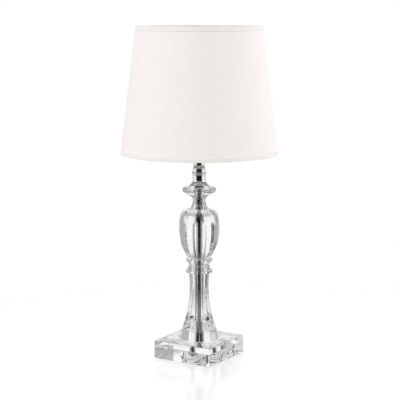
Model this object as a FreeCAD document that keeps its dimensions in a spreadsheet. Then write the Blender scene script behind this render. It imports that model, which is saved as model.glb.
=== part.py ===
import FreeCAD, Part
import math
import os
import Sketcher

# Table lamp: a stack of cut glass pieces on a hollow threaded rod, with a chrome neck, a lampholder
# and a tapered drum shade. Millimetres, +Z up, the origin on the table under the middle of the base.
# The base's sides lie along X and Y, and the cord's inlet is in the +Y side.

SIZES = {
    # Small gaps that several fits share
    "fit_clearance": 0.05,
    "running_clearance": 0.3,
    "facet_count": 12,
    "facet_angle": -10.5,
    # Clear pads under the base
    "pad_radius": 6.0,
    "pad_taper": 0.5,
    "pad_thickness": 1.5,
    "pad_inset": 12.0,
    # Square base: a thick block and a thinner plate on it
    "base_side": 105.0,
    "base_bevel": 0.8,
    "block_height": 20.0,
    "plate_height": 10.0,
    "recess_radius": 18.0,
    "recess_depth": 13.0,
    "cover_ledge": 2.0,
    "cover_thickness": 1.2,
    "inlet_radius": 4.5,
    "inlet_height": 7.0,
    "grommet_bore_radius": 3.3,
    "grommet_length": 14.0,
    "grommet_flange_radius": 6.4,
    "grommet_flange_thickness": 1.6,
    # Hollow threaded rod and what clamps the stack on it
    "rod_radius": 5.0,
    "rod_bore_radius": 4.0,
    "rod_tail": 2.0,
    "glass_bore_clearance": 0.4,
    "clamp_washer_radius": 14.0,
    "clamp_washer_thickness": 1.5,
    "spring_washer_radius": 9.0,
    "spring_washer_thickness": 1.4,
    "spring_washer_gap": 2.0,
    "nut_flats": 17.0,
    "nut_height": 5.0,
    "stack_washer_radius": 10.5,
    "stack_washer_thickness": 1.0,
    "stack_nut_flats": 14.0,
    "stack_nut_height": 4.0,
    # Clear gaskets between the glass pieces
    "gasket_thickness": 0.5,
    "foot_gasket_radius": 24.0,
    "collar_gasket_radius": 14.0,
    "urn_gasket_radius": 11.0,
    "neck_gasket_radius": 11.0,
    "dish_gasket_radius": 9.5,
    # Column: a concave faceted stem over a straight cut foot
    "column_height": 107.5,
    "foot_radius": 32.4,
    "foot_edge_height": 2.5,
    "foot_slope_height": 30.0,
    "foot_slope_radius": 22.9,
    "foot_clear_radius": 40.0,
    "stem_flare_radius": 47.0,
    "stem_low_height": 15.0,
    "stem_low_radius": 31.2,
    "stem_bend_height": 28.0,
    "stem_bend_radius": 24.2,
    "stem_mid_height": 42.0,
    "stem_mid_radius": 20.2,
    "stem_upper_height": 58.0,
    "stem_upper_radius": 17.6,
    "stem_waist_height": 80.0,
    "stem_waist_radius": 15.8,
    "stem_top_radius": 17.0,
    # Collar: a spool with a thick lower flange and a thin upper one
    "collar_height": 23.2,
    "collar_edge": 0.8,
    "collar_lower_radius": 21.6,
    "collar_lower_height": 4.2,
    "collar_step_radius": 18.8,
    "collar_step_height": 5.4,
    "collar_waist_radius": 16.4,
    "collar_waist_height": 14.4,
    "collar_upper_radius": 22.2,
    "collar_upper_height": 20.6,
    # Urn: a faceted body under a shoulder cut with facets half a step round
    "urn_height": 79.6,
    "urn_seat_radius": 12.6,
    "urn_heel_radius": 20.0,
    "urn_heel_height": 3.2,
    "urn_low_height": 14.0,
    "urn_low_radius": 26.0,
    "urn_belly_height": 27.0,
    "urn_belly_radius": 30.6,
    "urn_wide_height": 44.0,
    "urn_wide_radius": 33.2,
    "urn_high_height": 57.0,
    "urn_high_radius": 32.9,
    "urn_crest_height": 68.0,
    "urn_crest_radius": 31.7,
    "shoulder_skirt_radius": 44.0,
    "shoulder_low_height": 62.0,
    "shoulder_low_radius": 32.8,
    "shoulder_mid_height": 71.0,
    "shoulder_mid_radius": 30.5,
    "shoulder_bend_height": 75.6,
    "shoulder_bend_radius": 27.6,
    "shoulder_top_radius": 19.0,
    # Neck cone, disc and dish
    "cone_height": 15.4,
    "cone_edge_height": 2.5,
    "cone_edge_radius": 13.8,
    "cone_bend_height": 7.5,
    "cone_bend_radius": 11.4,
    "cone_top_radius": 9.9,
    "disc_height": 3.6,
    "disc_radius": 11.3,
    "disc_edge": 0.7,
    "dish_height": 15.6,
    "dish_seat_radius": 14.5,
    "dish_under_height": 8.4,
    "dish_under_radius": 26.4,
    "dish_rim_height": 11.3,
    "dish_rim_radius": 28.2,
    "dish_crown_height": 13.8,
    "dish_crown_radius": 27.1,
    "dish_top_radius": 23.4,
    # Chrome neck: bell, bead and sleeve
    "chrome_wall": 1.2,
    "bell_height": 19.0,
    "bell_flange_radius": 16.9,
    "bell_flange_height": 2.6,
    "bell_step_radius": 16.0,
    "bell_step_height": 3.7,
    "bell_neck_radius": 10.6,
    "bell_neck_height": 16.0,
    "bell_curve": 34.0,
    "bead_height": 5.7,
    "bead_radius": 11.9,
    "bead_land": 0.9,
    "sleeve_height": 18.0,
    "sleeve_foot_radius": 10.8,
    "sleeve_groove_height": 4.2,
    "sleeve_groove_width": 1.2,
    "sleeve_groove_radius": 9.6,
    "sleeve_shoulder_radius": 10.4,
    "sleeve_top_radius": 9.0,
    "sleeve_taper_height": 10.5,
    # Lampholder
    "cap_height": 26.0,
    "cap_radius": 19.8,
    "cap_wall": 1.8,
    "cap_floor": 3.0,
    "cap_hub_radius": 8.0,
    "cap_dome_height": 8.0,
    "insert_height": 7.4,
    "bar_length": 52.0,
    "bar_width": 6.4,
    "bar_height": 4.6,
    "bar_round": 1.2,
    "bar_level": 10.5,
    "bar_offset": 3.0,
    "skirt_height": 31.0,
    "skirt_wall": 1.8,
    "skirt_lip": 4.6,
    "skirt_lip_thickness": 1.4,
    "seat_radius": 23.0,
    "seat_thickness": 2.4,
    "shell_radius": 13.8,
    "shell_wall": 0.4,
    "shell_height": 24.0,
    "shell_hole_radius": 6.0,
    "contact_width": 4.0,
    "contact_length": 9.0,
    "contact_gauge": 0.5,
    "contact_rise": 3.0,
    "screw_head_radius": 1.7,
    "screw_head_height": 1.4,
    "screw_shank_radius": 1.0,
    "screw_shank_length": 5.0,
    # Shade ring and the shade's lower frame
    "ring_flange_radius": 25.5,
    "ring_flange_thickness": 2.0,
    "ring_collar_radius": 22.6,
    "ring_height": 9.0,
    "fitter_radius": 29.0,
    "fitter_thickness": 1.5,
    "fitter_rise": 18.0,
    "arm_radius": 1.4,
    "arm_weld": 1.8,
    "arm_count": 3,
    "arm_angle": 30.0,
    # Shade: tapered drum, fabric over a stiff lining, wire rings in its edges
    "shade_height": 200.8,
    "shade_bottom_radius": 124.1,
    "shade_top_radius": 99.6,
    "fabric_thickness": 0.6,
    "liner_thickness": 0.8,
    "layer_gap": 0.05,
    "wire_radius": 1.5,
    "wire_gap": 0.1,
    "trim_width": 7.0,
    "trim_thickness": 0.5,
    "trim_return": 0.6,
    # Candle bulb
    "bulb_gap": 0.25,
    "bulb_contact_radius": 3.6,
    "bulb_contact_height": 1.0,
    "bulb_insulator_height": 3.6,
    "bulb_cap_height": 22.5,
    "bulb_cap_wall": 0.4,
    "envelope_height": 74.0,
    "envelope_wall": 0.8,
    "envelope_neck_radius": 12.6,
    "envelope_neck_height": 6.0,
    "envelope_radius": 17.5,
    "envelope_wide_height": 25.0,
    "envelope_shoulder_curve": 40.0,
    "envelope_flank_height": 66.0,
    "envelope_flank_radius": 5.0,
    "envelope_flank_curve": 75.0,
    "envelope_tip_height": 72.8,
    "envelope_tip_radius": 1.6,
    "envelope_tip_curve": 12.0,
}

# Levels and fits that follow from the sizes above, in the order in which they are worked out.
LEVELS = {
    "zero": "0",
    # The stack, from the table up
    "block_level": "sizes.pad_thickness",
    "plate_level": "block_level + sizes.block_height",
    "foot_gasket_level": "plate_level + sizes.plate_height",
    "column_level": "foot_gasket_level + sizes.gasket_thickness",
    "collar_gasket_level": "column_level + sizes.column_height",
    "collar_level": "collar_gasket_level + sizes.gasket_thickness",
    "urn_gasket_level": "collar_level + sizes.collar_height",
    "urn_level": "urn_gasket_level + sizes.gasket_thickness",
    "neck_gasket_level": "urn_level + sizes.urn_height",
    "cone_level": "neck_gasket_level + sizes.gasket_thickness",
    "disc_level": "cone_level + sizes.cone_height",
    "dish_gasket_level": "disc_level + sizes.disc_height",
    "dish_level": "dish_gasket_level + sizes.gasket_thickness",
    "bell_level": "dish_level + sizes.dish_height",
    "bead_level": "bell_level + sizes.bell_height",
    "sleeve_level": "bead_level + sizes.bead_height",
    "cap_level": "sleeve_level + sizes.sleeve_height",
    "skirt_level": "cap_level + sizes.cap_height",
    # Base
    "half_side": "sizes.base_side / 2",
    "pad_place": "sizes.base_side / 2 - sizes.pad_inset",
    "pad_tip_radius": "sizes.pad_radius - sizes.pad_taper",
    "glass_bore_radius": "sizes.rod_radius + sizes.glass_bore_clearance",
    "cover_seat_radius": "sizes.recess_radius + sizes.cover_ledge",
    "cover_radius": "cover_seat_radius - sizes.fit_clearance",
    "inlet_level": "block_level + sizes.inlet_height",
    "grommet_radius": "sizes.inlet_radius - sizes.fit_clearance",
    "grommet_end": "sizes.grommet_length + sizes.grommet_flange_thickness",
    "grommet_place": "half_side + sizes.grommet_flange_thickness",
    # Rod and clamping pieces
    "recess_top": "block_level + sizes.recess_depth",
    "clamp_washer_level": "recess_top - sizes.clamp_washer_thickness",
    "spring_washer_level": "clamp_washer_level - sizes.spring_washer_thickness",
    "clamp_nut_level": "spring_washer_level - sizes.nut_height",
    "rod_level": "clamp_nut_level - sizes.rod_tail",
    "rod_top": "cap_level + sizes.cap_floor + sizes.rod_tail",
    "rod_length": "rod_top - rod_level",
    "rod_fit_radius": "sizes.rod_radius + sizes.fit_clearance",
    "nut_radius": "sizes.nut_flats / 2 / cos(30 deg)",
    "stack_nut_radius": "sizes.stack_nut_flats / 2 / cos(30 deg)",
    "stack_nut_level": "bell_level + sizes.stack_washer_thickness",
    # Collar
    "collar_seat_radius": "sizes.collar_lower_radius - sizes.collar_edge",
    "collar_rim_height": "sizes.collar_height - sizes.collar_edge",
    "collar_top_radius": "sizes.collar_upper_radius - sizes.collar_edge",
    "disc_seat_radius": "sizes.disc_radius - sizes.disc_edge",
    "disc_upper_height": "sizes.disc_height - sizes.disc_edge",
    # Facets of a shoulder or foot lie half a step round from those of the body
    "half_step_angle": "sizes.facet_angle + 180 / sizes.facet_count",
    # Chrome neck
    "bell_inner_flange": "sizes.bell_flange_radius - sizes.chrome_wall",
    "bell_inner_step": "sizes.bell_step_radius - sizes.chrome_wall",
    "bell_inner_neck": "sizes.bell_neck_radius - sizes.chrome_wall",
    "bell_roof": "sizes.bell_height - sizes.chrome_wall",
    "bell_inner_curve": "sizes.bell_curve + sizes.chrome_wall",
    "bead_upper_land": "sizes.bead_height - sizes.bead_land",
    "bead_half": "sizes.bead_height / 2 - sizes.bead_land",
    "bead_bulge": "sizes.bead_radius - sizes.bell_neck_radius",
    "bead_curve": "(bead_half * bead_half + bead_bulge * bead_bulge) / (2 * bead_bulge)",
    "sleeve_groove_top": "sizes.sleeve_groove_height + sizes.sleeve_groove_width",
    # Lampholder
    "cap_inner_radius": "sizes.cap_radius - sizes.cap_wall",
    "cap_inner_dome": "sizes.cap_dome_height + sizes.cap_wall",
    "insert_radius": "cap_inner_radius - sizes.fit_clearance",
    "insert_level": "skirt_level - sizes.insert_height",
    "bar_slot_width": "sizes.bar_width + 2 * sizes.running_clearance",
    "bar_slot_height": "sizes.bar_height + 2 * sizes.running_clearance",
    "bar_slot_level": "sizes.bar_level - sizes.running_clearance",
    "bar_place": "-sizes.bar_length / 2 - sizes.bar_offset",
    "bar_side": "-sizes.bar_width / 2",
    "bar_base": "cap_level + sizes.bar_level",
    "skirt_radius": "sizes.cap_radius",
    "skirt_inner_radius": "skirt_radius - sizes.skirt_wall",
    "skirt_mouth_radius": "skirt_radius - sizes.skirt_lip",
    "skirt_lip_level": "sizes.skirt_height - sizes.skirt_lip_thickness",
    "shell_inner_radius": "sizes.shell_radius - sizes.shell_wall",
    "contact_tip": "sizes.contact_length / 2",
    "contact_tail": "-sizes.contact_length / 2",
    "contact_inner_rise": "sizes.contact_rise - sizes.contact_gauge",
    "screw_place": "(sizes.shell_radius + skirt_inner_radius) / 2",
    "screw_hole_radius": "sizes.screw_shank_radius + sizes.fit_clearance",
    "screw_level": "skirt_level - sizes.screw_shank_length",
    "screw_reach": "sizes.screw_shank_length + sizes.screw_head_height",
    # Shade ring and frame
    "fitter_level": "skirt_level + sizes.seat_thickness + sizes.running_clearance",
    "fitter_hole_radius": "skirt_radius + 2 * sizes.running_clearance",
    "ring_level": "fitter_level + sizes.fitter_thickness + sizes.running_clearance",
    "ring_bore_radius": "skirt_radius + sizes.running_clearance",
    # Shade, from its lower edge
    "shade_level": "fitter_level - sizes.fitter_rise",
    "edge_low": "sizes.trim_thickness",
    "edge_high": "sizes.shade_height - sizes.trim_thickness",
    "wall_height": "sizes.shade_height - 2 * sizes.trim_thickness",
    "shade_slope": "(sizes.shade_bottom_radius - sizes.shade_top_radius) / wall_height",
    "fabric_inner_low": "sizes.shade_bottom_radius - sizes.fabric_thickness",
    "fabric_inner_high": "sizes.shade_top_radius - sizes.fabric_thickness",
    "liner_outer_low": "fabric_inner_low - sizes.layer_gap",
    "liner_outer_high": "fabric_inner_high - sizes.layer_gap",
    "liner_inner_low": "liner_outer_low - sizes.liner_thickness",
    "liner_inner_high": "liner_outer_high - sizes.liner_thickness",
    "wire_rise": "sizes.wire_radius + sizes.wire_gap",
    "low_wire_height": "edge_low + wire_rise",
    "high_wire_height": "edge_high - wire_rise",
    "wire_inset": "wire_rise * sqrt(1 + shade_slope * shade_slope)",
    "low_wire_radius": "liner_inner_low - shade_slope * wire_rise - wire_inset",
    "high_wire_radius": "liner_inner_high + shade_slope * wire_rise - wire_inset",
    "trim_inner_low": "sizes.shade_bottom_radius + sizes.layer_gap",
    "trim_outer_low": "trim_inner_low + sizes.trim_thickness",
    "trim_inner_high": "sizes.shade_top_radius + sizes.layer_gap",
    "trim_outer_high": "trim_inner_high + sizes.trim_thickness",
    "low_trim_edge": "edge_low + sizes.trim_width",
    "low_trim_inner": "trim_inner_low - shade_slope * sizes.trim_width",
    "low_trim_outer": "trim_outer_low - shade_slope * sizes.trim_width",
    "high_trim_edge": "edge_high - sizes.trim_width",
    "high_trim_inner": "trim_inner_high + shade_slope * sizes.trim_width",
    "high_trim_outer": "trim_outer_high + shade_slope * sizes.trim_width",
    "low_fold_outer": "low_wire_radius - wire_rise",
    "low_fold_inner": "low_fold_outer - sizes.trim_thickness",
    "low_fold_height": "edge_low + sizes.trim_return",
    "high_fold_outer": "high_wire_radius - wire_rise",
    "high_fold_inner": "high_fold_outer - sizes.trim_thickness",
    "high_fold_height": "edge_high - sizes.trim_return",
    # Spider arms, from the fitter ring's edge down to the lower wire ring
    "arm_start": "sizes.fitter_radius - sizes.arm_weld",
    "arm_start_height": "sizes.fitter_rise + sizes.fitter_thickness / 2",
    "arm_end": "low_wire_radius - wire_rise",
    "arm_end_height": "low_wire_height + sizes.arm_radius",
    "arm_run": "arm_end - arm_start",
    "arm_drop": "arm_start_height - arm_end_height",
    "arm_length": "sqrt(arm_run * arm_run + arm_drop * arm_drop)",
    "arm_tilt": "90 + atan(arm_drop / arm_run) / 1 deg",
    # Bulb
    "bulb_level": "skirt_level + sizes.contact_rise + sizes.bulb_gap",
    "bulb_insulator_level": "bulb_level + sizes.bulb_contact_height",
    "bulb_cap_level": "bulb_insulator_level + sizes.bulb_insulator_height",
    "bulb_cap_radius": "shell_inner_radius - sizes.running_clearance",
    "bulb_cap_inner": "bulb_cap_radius - sizes.bulb_cap_wall",
    "envelope_level": "bulb_cap_level + sizes.bulb_cap_height",
    "envelope_inner_neck": "sizes.envelope_neck_radius - sizes.envelope_wall",
    "envelope_inner_radius": "sizes.envelope_radius - sizes.envelope_wall",
    "envelope_inner_flank": "sizes.envelope_flank_radius - sizes.envelope_wall",
    "envelope_inner_height": "sizes.envelope_height - sizes.envelope_wall",
    "envelope_inner_tip": "sizes.envelope_tip_height - sizes.envelope_wall",
    "envelope_inner_shoulder_curve": "sizes.envelope_shoulder_curve - sizes.envelope_wall",
    "envelope_inner_flank_curve": "sizes.envelope_flank_curve - sizes.envelope_wall",
    "envelope_inner_tip_curve": "sizes.envelope_tip_curve - sizes.envelope_wall",
}

Vector = FreeCAD.Vector
Z_AXIS = Vector(0, 0, 1)

doc = FreeCAD.newDocument("lamp")
nodes = []


def fill_sheets():
    """Puts the driving sizes into one sheet and what follows from them into another."""
    sizes = doc.addObject("Spreadsheet::Sheet", "sizes")
    for row, (alias, size) in enumerate(SIZES.items(), start=1):
        sizes.set(f"A{row}", str(size))
        sizes.setAlias(f"A{row}", alias)
    doc.recompute()
    levels = doc.addObject("Spreadsheet::Sheet", "levels")
    for row, (alias, formula) in enumerate(LEVELS.items(), start=1):
        levels.set(f"A{row}", f"={formula}")
        levels.setAlias(f"A{row}", alias)
    doc.recompute()
    return sizes, levels


sizes_sheet, levels_sheet = fill_sheets()


def cell(alias):
    """The expression that reads an alias from the sheet that holds it."""
    return f"sizes.{alias}" if alias in SIZES else f"levels.{alias}"


def value(alias):
    sheet = sizes_sheet if alias in SIZES else levels_sheet
    found = sheet.get(alias)
    return float(getattr(found, "Value", found))


def keep(piece, label):
    """Names a finished sub-part and puts it on the list of nodes."""
    piece.Label = label
    nodes.append(piece)
    return piece


def bind(piece, **properties):
    """Binds properties to cells: name=alias, with _ standing for the dots in Placement_Base_z."""
    for name, alias in properties.items():
        piece.setExpression(name.replace("_", "."), cell(alias))


# Sketched bodies


def origin_plane(body, role):
    return next(feature for feature in body.Origin.OriginFeatures if feature.Role == role)


def new_sketch(body, name, role):
    sketch = body.newObject("Sketcher::SketchObject", name)
    sketch.AttachmentSupport = [(origin_plane(body, role), "")]
    sketch.MapMode = "FlatFace"
    return sketch


def arc_middle(start, end, radius, bulge):
    """The middle of an arc from start to end; bulge is 1 where it lies left of that line, else -1."""
    chord = end - start
    half = chord.Length / 2
    rise = radius - math.sqrt(max(radius * radius - half * half, 0.0))
    left = Vector(-chord.y, chord.x, 0).normalize()
    return (start + end) / 2 + left * rise * bulge


def outline(sketch, points):
    """A closed outline. Each point is (across, up) or (across, up, curve, bulge), where curve is the
    radius of the arc that goes on from that point."""
    places = [Vector(value(point[0]), value(point[1]), 0) for point in points]
    for index, point in enumerate(points):
        start = places[index]
        end = places[(index + 1) % len(points)]
        if len(point) == 2:
            sketch.addGeometry(Part.LineSegment(start, end))
        else:
            middle = arc_middle(start, end, value(point[2]), point[3])
            sketch.addGeometry(Part.Arc(start, middle, end))
    # An arc is kept counter-clockwise, so a clockwise one starts at its second end.
    ends = []
    for index in range(len(points)):
        start = sketch.getPoint(index, 1)
        flipped = start.distanceToPoint(places[index]) > 1e-6
        ends.append((2, 1) if flipped else (1, 2))
    for index in range(len(points)):
        following = (index + 1) % len(points)
        joint = Sketcher.Constraint("Coincident", index, ends[index][1], following, ends[following][0])
        sketch.addConstraint(joint)
    for index, point in enumerate(points):
        for axis_type, alias, on_axis in (("DistanceX", point[0], -2), ("DistanceY", point[1], -1)):
            if value(alias) == 0:
                held = Sketcher.Constraint("PointOnObject", index, ends[index][0], on_axis)
                sketch.addConstraint(held)
                continue
            place = Sketcher.Constraint(axis_type, -1, 1, index, ends[index][0], value(alias))
            number = sketch.addConstraint(place)
            sketch.setExpression(f"Constraints[{number}]", cell(alias))
        if len(point) == 4:
            number = sketch.addConstraint(Sketcher.Constraint("Radius", index, value(point[2])))
            sketch.setExpression(f"Constraints[{number}]", cell(point[2]))


def turned(label, points, level):
    """A sub-part turned about Z from an outline of (radius, height) points."""
    body = doc.addObject("PartDesign::Body", label)
    sketch = new_sketch(body, f"{label}_outline", "XZ_Plane")
    outline(sketch, points)
    turn = body.newObject("PartDesign::Revolution", f"{label}_turn")
    turn.Profile = sketch
    turn.ReferenceAxis = (sketch, ["V_Axis"])
    turn.Angle = 360
    bind(body, Placement_Base_z=level)
    return keep(body, label)


def draw_rectangle(sketch, half_width, low, high):
    """Four closed sides, counter-clockwise from the lower left corner."""
    corners = [(-half_width, low), (half_width, low), (half_width, high), (-half_width, high)]
    for index, (across, up) in enumerate(corners):
        next_across, next_up = corners[(index + 1) % 4]
        sketch.addGeometry(Part.LineSegment(Vector(across, up, 0), Vector(next_across, next_up, 0)))
    for index in range(4):
        sketch.addConstraint(Sketcher.Constraint("Coincident", index, 2, (index + 1) % 4, 1))


def square_sketch(body, name):
    """A square centred on Z, as wide as the base."""
    sketch = new_sketch(body, name, "XY_Plane")
    half = value("half_side")
    draw_rectangle(sketch, half, -half, half)
    for index, kind in enumerate(("Horizontal", "Vertical", "Horizontal", "Vertical")):
        sketch.addConstraint(Sketcher.Constraint(kind, index))
    sketch.addConstraint(Sketcher.Constraint("Symmetric", 0, 1, 2, 1, -1, 1))
    for index in (0, 1):
        side = sketch.addConstraint(Sketcher.Constraint("Distance", index, 2 * half))
        sketch.setExpression(f"Constraints[{side}]", "sizes.base_side")
    return sketch


def round_pocket(body, name, radius, depth, role="XY_Plane", reverse=True, rise=None):
    """Cuts a round hole from an origin plane, as deep as a cell says, or right through for None."""
    sketch = new_sketch(body, f"{name}_circle", role)
    height = value(rise) if rise else 0.0
    sketch.addGeometry(Part.Circle(Vector(0, height, 0), Z_AXIS, value(radius)))
    if rise:
        sketch.addConstraint(Sketcher.Constraint("PointOnObject", 0, 3, -2))
        lift = sketch.addConstraint(Sketcher.Constraint("DistanceY", -1, 1, 0, 3, height))
        sketch.setExpression(f"Constraints[{lift}]", cell(rise))
    else:
        sketch.addConstraint(Sketcher.Constraint("Coincident", 0, 3, -1, 1))
    size = sketch.addConstraint(Sketcher.Constraint("Radius", 0, value(radius)))
    sketch.setExpression(f"Constraints[{size}]", cell(radius))
    before = body.Shape.Volume
    pocket = body.newObject("PartDesign::Pocket", name)
    pocket.Profile = sketch
    pocket.Reversed = reverse
    if depth:
        bind(pocket, Length=depth)
    else:
        pocket.Type = "ThroughAll"
    doc.recompute()
    if not body.Shape.Volume < before:
        raise RuntimeError(f"{name} cuts nothing")
    return pocket


def base_slab(label, height, level):
    """A square slab of glass with a small bevel on every edge and the rod's bore."""
    body = doc.addObject("PartDesign::Body", label)
    pad = body.newObject("PartDesign::Pad", f"{label}_pad")
    pad.Profile = square_sketch(body, f"{label}_square")
    bind(pad, Length=height)
    doc.recompute()
    bevel = body.newObject("PartDesign::Chamfer", f"{label}_bevel")
    bevel.Base = (pad, [f"Edge{index}" for index in range(1, len(pad.Shape.Edges) + 1)])
    bind(bevel, Size="base_bevel")
    doc.recompute()
    round_pocket(body, f"{label}_bore", "glass_bore_radius", None)
    bind(body, Placement_Base_z=level)
    return keep(body, label)


# Faceted glass: lofts through polygons, bored for the rod


def polygon(name, radius, height, turn):
    ring = doc.addObject("Part::RegularPolygon", name)
    turned_to = FreeCAD.Rotation(Z_AXIS, value(turn))
    ring.Placement = FreeCAD.Placement(Vector(0, 0, value(height)), turned_to)
    bind(ring, Polygon="facet_count", Circumradius=radius, Placement_Base_z=height)
    bind(ring, Placement_Rotation_Angle=turn)
    return ring


def faceted(name, sections, turn="facet_angle", straight=True):
    """A loft through polygons given as (radius, height); straight keeps every facet flat."""
    loft = doc.addObject("Part::Loft", name)
    loft.Sections = [
        polygon(f"{name}_section_{index}", radius, height, turn)
        for index, (radius, height) in enumerate(sections, start=1)
    ]
    loft.Solid = True
    loft.Ruled = straight
    return loft


def bored(label, solid, height, level):
    """Bores a glass piece for the rod and sets it at its level in the stack."""
    bore = doc.addObject("Part::Cylinder", f"{label}_bore")
    bind(bore, Radius="glass_bore_radius", Height=height)
    cut = doc.addObject("Part::Cut", label)
    cut.Base = solid
    cut.Tool = bore
    bind(cut, Placement_Base_z=level)
    return keep(cut, label)


def shared_part(name, first, second):
    common = doc.addObject("Part::Common", name)
    common.Base = first
    common.Tool = second
    return common


def washer(label, radius, hole, thickness, level):
    return turned(
        label,
        [(hole, "zero"), (radius, "zero"), (radius, thickness), (hole, thickness)],
        level,
    )


# Base


def make_foot_pads():
    """Four clear pads stuck to the block's underside, tapering to the table."""
    pads = []
    for index, (side, depth) in enumerate(((-1, -1), (1, -1), (1, 1), (-1, 1)), start=1):
        pad = doc.addObject("Part::Cone", f"pad_{index}")
        bind(pad, Radius1="pad_tip_radius", Radius2="pad_radius", Height="pad_thickness")
        pad.setExpression("Placement.Base.x", f"levels.pad_place * {side}")
        pad.setExpression("Placement.Base.y", f"levels.pad_place * {depth}")
        pads.append(pad)
    group = doc.addObject("Part::Compound", "foot_pads")
    group.Links = pads
    return keep(group, "foot_pads")


def make_base():
    block = base_slab("base_block", "block_height", "block_level")
    round_pocket(block, "cover_rebate", "cover_seat_radius", "cover_thickness")
    round_pocket(block, "recess", "recess_radius", "recess_depth")
    round_pocket(block, "inlet", "inlet_radius", "half_side", "XZ_Plane", False, "inlet_height")
    base_slab("base_plate", "plate_height", "plate_level")
    cover = doc.addObject("Part::Cylinder", "recess_cover")
    bind(cover, Radius="cover_radius", Height="cover_thickness", Placement_Base_z="block_level")
    keep(cover, "recess_cover")


def make_grommet():
    """Bush in the cord's inlet: turned about Z, then laid along Y with its flange outside."""
    grommet = turned(
        "cord_grommet",
        [
            ("grommet_bore_radius", "zero"),
            ("grommet_flange_radius", "zero"),
            ("grommet_flange_radius", "grommet_flange_thickness"),
            ("grommet_radius", "grommet_flange_thickness"),
            ("grommet_radius", "grommet_end"),
            ("grommet_bore_radius", "grommet_end"),
        ],
        "inlet_level",
    )
    place = Vector(0, value("grommet_place"), value("inlet_level"))
    grommet.Placement = FreeCAD.Placement(place, FreeCAD.Rotation(Vector(1, 0, 0), 90))
    bind(grommet, Placement_Base_y="grommet_place", Placement_Base_z="inlet_level")


# Rod and clamping pieces


def hex_nut(label, radius, height, level):
    prism = doc.addObject("Part::Prism", f"{label}_blank")
    prism.Polygon = 6
    bind(prism, Circumradius=radius, Height=height)
    bore = doc.addObject("Part::Cylinder", f"{label}_bore")
    bind(bore, Radius="rod_fit_radius", Height=height)
    nut = doc.addObject("Part::Cut", label)
    nut.Base = prism
    nut.Tool = bore
    bind(nut, Placement_Base_z=level)
    return keep(nut, label)


def make_rod():
    washer("threaded_tube", "rod_radius", "rod_bore_radius", "rod_length", "rod_level")
    for label, level in (("clamp_washer", "clamp_washer_level"), ("stack_washer", "bell_level")):
        washer(label, f"{label}_radius", "rod_fit_radius", f"{label}_thickness", level)
    hex_nut("clamp_nut", "nut_radius", "nut_height", "clamp_nut_level")
    hex_nut("stack_nut", "stack_nut_radius", "stack_nut_height", "stack_nut_level")


def make_spring_washer():
    """A split ring between the washer and the nut."""
    disc = doc.addObject("Part::Cylinder", "spring_washer_disc")
    bind(disc, Radius="spring_washer_radius", Height="spring_washer_thickness")
    bore = doc.addObject("Part::Cylinder", "spring_washer_bore")
    bind(bore, Radius="rod_fit_radius", Height="spring_washer_thickness")
    ring = doc.addObject("Part::Cut", "spring_washer_ring")
    ring.Base = disc
    ring.Tool = bore
    gap = doc.addObject("Part::Box", "spring_washer_split")
    bind(gap, Length="spring_washer_radius", Width="spring_washer_gap")
    bind(gap, Height="spring_washer_thickness")
    split = doc.addObject("Part::Cut", "spring_washer")
    split.Base = ring
    split.Tool = gap
    bind(split, Placement_Base_z="spring_washer_level")
    keep(split, "spring_washer")


def make_gaskets():
    for piece in ("foot", "collar", "urn", "neck", "dish"):
        label = f"{piece}_gasket"
        washer(label, f"{label}_radius", "glass_bore_radius", "gasket_thickness", f"{label}_level")


# Glass stack


def make_column():
    """The stem's long facets run down into a flare, which the foot's straight facets cut off."""
    stem = faceted(
        "column_stem",
        [
            ("stem_flare_radius", "zero"),
            ("stem_low_radius", "stem_low_height"),
            ("stem_bend_radius", "stem_bend_height"),
            ("stem_mid_radius", "stem_mid_height"),
            ("stem_upper_radius", "stem_upper_height"),
            ("stem_waist_radius", "stem_waist_height"),
            ("stem_top_radius", "column_height"),
        ],
        straight=False,
    )
    foot = faceted(
        "column_foot",
        [
            ("foot_radius", "zero"),
            ("foot_radius", "foot_edge_height"),
            ("foot_slope_radius", "foot_slope_height"),
            ("foot_clear_radius", "column_height"),
        ],
        "half_step_angle",
    )
    bored("column", shared_part("column_blank", stem, foot), "column_height", "column_level")


def make_collar():
    spool = faceted(
        "collar_blank",
        [
            ("collar_seat_radius", "zero"),
            ("collar_lower_radius", "collar_edge"),
            ("collar_lower_radius", "collar_lower_height"),
            ("collar_step_radius", "collar_step_height"),
            ("collar_waist_radius", "collar_waist_height"),
            ("collar_upper_radius", "collar_upper_height"),
            ("collar_upper_radius", "collar_rim_height"),
            ("collar_top_radius", "collar_height"),
        ],
    )
    bored("collar", spool, "collar_height", "collar_level")


def make_urn():
    """A heart-shaped body, cut off above by a shoulder whose facets lie half a step round."""
    heel = faceted(
        "urn_heel",
        [("urn_seat_radius", "zero"), ("urn_heel_radius", "urn_heel_height")],
    )
    belly = faceted(
        "urn_belly",
        [
            ("urn_heel_radius", "urn_heel_height"),
            ("urn_low_radius", "urn_low_height"),
            ("urn_belly_radius", "urn_belly_height"),
            ("urn_wide_radius", "urn_wide_height"),
            ("urn_high_radius", "urn_high_height"),
            ("urn_crest_radius", "urn_crest_height"),
            ("shoulder_bend_radius", "urn_height"),
        ],
        straight=False,
    )
    body = doc.addObject("Part::Fuse", "urn_body")
    body.Base = heel
    body.Tool = belly
    shoulder = faceted(
        "urn_shoulder",
        [
            ("shoulder_skirt_radius", "zero"),
            ("shoulder_skirt_radius", "urn_belly_height"),
            ("shoulder_low_radius", "shoulder_low_height"),
            ("shoulder_mid_radius", "shoulder_mid_height"),
            ("shoulder_bend_radius", "shoulder_bend_height"),
            ("shoulder_top_radius", "urn_height"),
        ],
        "half_step_angle",
    )
    bored("urn", shared_part("urn_blank", body, shoulder), "urn_height", "urn_level")


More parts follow.
